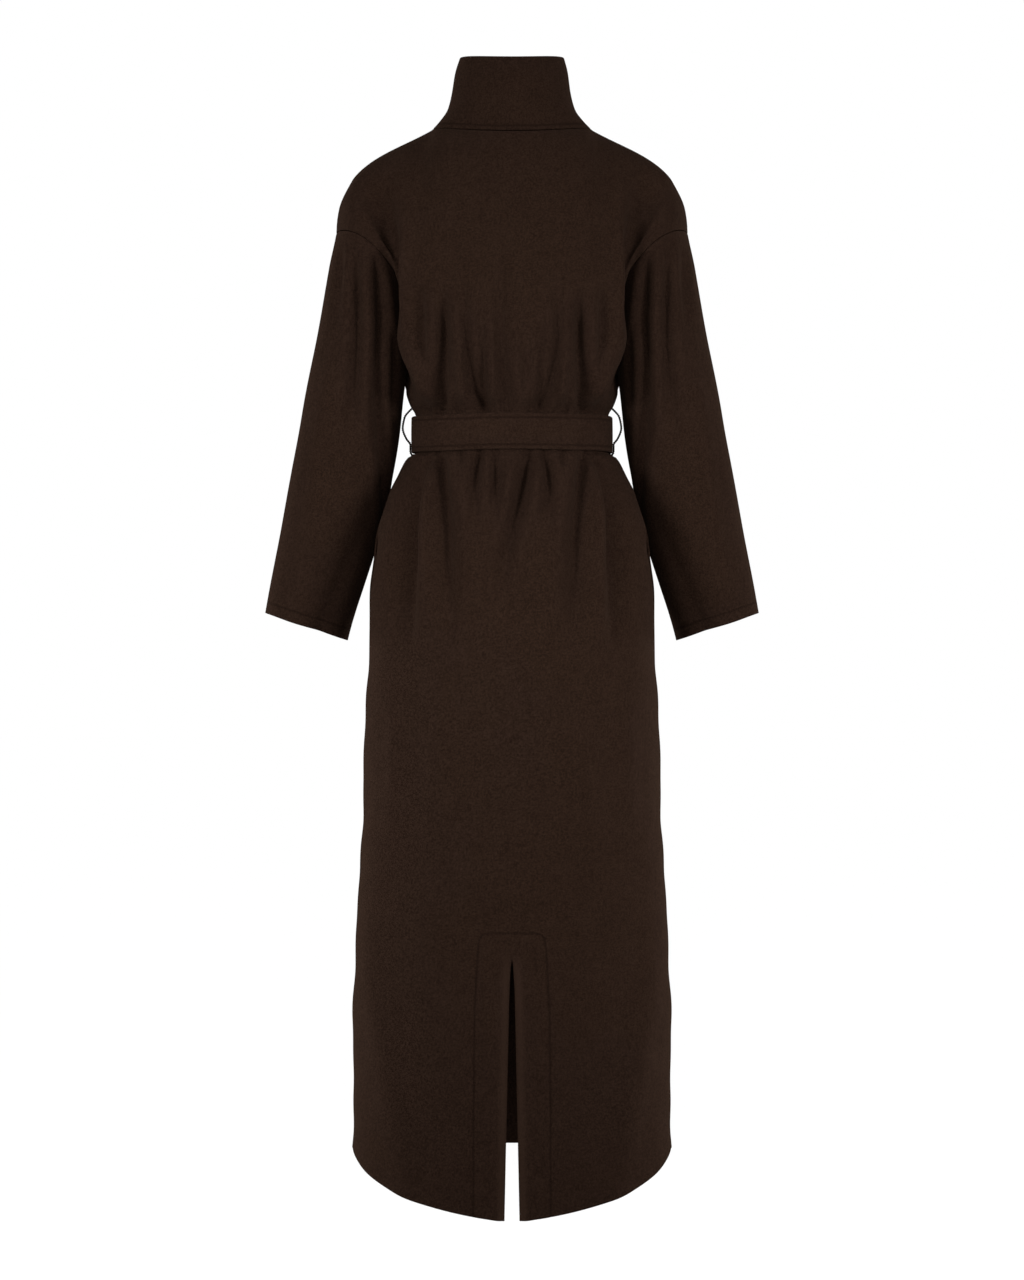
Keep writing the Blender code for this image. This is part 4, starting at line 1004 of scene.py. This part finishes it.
def makeCarrier(side):
    beltSide = float(bodyForm["halfWidth"](belt["z"])) + belt["ease"] + belt["wall"]
    ends = (carrier["top"], carrier["foot"])
    top, foot = ((float(sectionPoint(90.0, np.asarray(z))[0]) - carrier["sewn"], z) for z in ends)
    route = [top] + [(beltSide + out, belt["z"] + up) for out, up in carrierRoute] + [foot]
    line = curveThrough(range(len(route)), route)(np.linspace(0, len(route) - 1, carrier["steps"]))
    tangent = unit(np.gradient(line, axis=0))
    reach = np.concatenate([[0], np.cumsum(np.linalg.norm(np.diff(line, axis=0), axis=1))])
    centre = np.stack([line[:, 0], 0 * reach, line[:, 1]], axis=-1)
    out = np.stack([tangent[:, 1], 0 * reach, -tangent[:, 0]], axis=-1)[:, None, :]
    through = np.array([0.0, 1.0, 0.0])
    ring = np.linspace(0, 2 * math.pi, carrier["sides"], endpoint=False)[None, :, None]
    circle = carrier["ply"] * (np.cos(ring) * out + np.sin(ring) * through)
    points, faces = [], []
    for ply in (0, 1):
        twist = (2 * math.pi * reach / carrier["pitch"] + math.pi * ply)[:, None, None]
        spiral = carrier["ply"] * carrier["apart"] * (np.cos(twist) * out + np.sin(twist) * through)
        tube = centre[:, None, :] + spiral + circle
        index = gridIndex(tube.shape) + sum(len(made) for made in points)
        points.append(tube.reshape(-1, 3) * (sideSign(side), 1, 1))
        faces += gridFaces(index, wrap=True).tolist() + [index[0].tolist(), index[-1][::-1].tolist()]
    piece = addPiece("beltCarrier" + side.title(), np.concatenate(points), faces, thread)
    finishPiece(piece, "belt_carrier_" + side)


makeBack()
makeCollar()
makeFacing()
makeBelt()
makeKnot()
for sideName in ("left", "right"):
    makeFront(sideName)
    makeSleeve(sideName)
    makePocket(sideName)
    makeTail(sideName)
    makeCarrier(sideName)
print("pieces made")

# Floor, light and camera, in metres
studio = {
    "floor": -1.45, "floorHalf": 30.0, "world": 1.0,
    "camera": (0.0, -5.0, -0.612), "lens": 117.1875, "sensor": 36.0,
}
paperSurface = {"Base Color": (1.0, 1.0, 1.0, 1), "Roughness": 0.95, "Specular IOR Level": 0.0}
lights = [  # name, place of the right one, height aimed at, size, spread in degrees, watts
    ("back", (2.5, -2.3, -0.2), -0.50, 0.9, 34.0, 5.9),
    ("front", (2.5, 2.3, -0.2), -0.50, 0.9, 34.0, 5.9),
    ("fill", (0.0, -5.6, -0.2), -0.50, 1.2, 30.0, 2.2),
    ("low", (2.2, 0.4, -1.2), -1.22, 0.8, 42.0, 4.5),
]


def makeFloor():
    half = studio["floorHalf"]
    corners = [(x * half, y * half, studio["floor"]) for x, y in ((-1, -1), (1, -1), (1, 1), (-1, 1))]
    mesh = bpy.data.meshes.new("paleFloor")
    mesh.from_pydata(corners, [], [[0, 1, 2, 3]])
    mesh.materials.append(startMaterial("palePaper", paperSurface)[0])
    floor = bpy.data.objects.new("paleFloor", mesh)
    bpy.context.scene.collection.objects.link(floor)


def makeLights():
    world = bpy.data.worlds.new("softWhite")
    bpy.context.scene.world = world
    world.use_nodes = True
    background = world.node_tree.nodes["Background"]
    background.inputs["Color"].default_value = (1, 1, 1, 1)
    background.inputs["Strength"].default_value = studio["world"]
    for name, (x, y, z), aimZ, size, spread, watts in lights:
        for side in ((-1, 1) if x else (1,)):
            lamp = bpy.data.lights.new(name, "AREA")
            lamp.shape, lamp.size, lamp.spread, lamp.energy = "DISK", size, math.radians(spread), watts
            shown = bpy.data.objects.new(name, lamp)
            shown.location = (side * x, y, z)
            tilt = math.atan2(math.hypot(x, y), z - aimZ)
            shown.rotation_euler = (tilt, 0, math.atan2(-y, -side * x) - math.pi / 2)
            bpy.context.scene.collection.objects.link(shown)


def makeCamera():
    lens = bpy.data.cameras.new("photoCamera")
    lens.lens, lens.sensor_width = studio["lens"], studio["sensor"]
    camera = bpy.data.objects.new("photoCamera", lens)
    camera.location = studio["camera"]
    camera.rotation_euler = (math.pi / 2, 0, 0)
    bpy.context.scene.collection.objects.link(camera)
    bpy.context.scene.camera = camera
    bpy.context.scene.view_settings.view_transform = "Standard"


makeFloor()
makeLights()
makeCamera()
print("studio made")
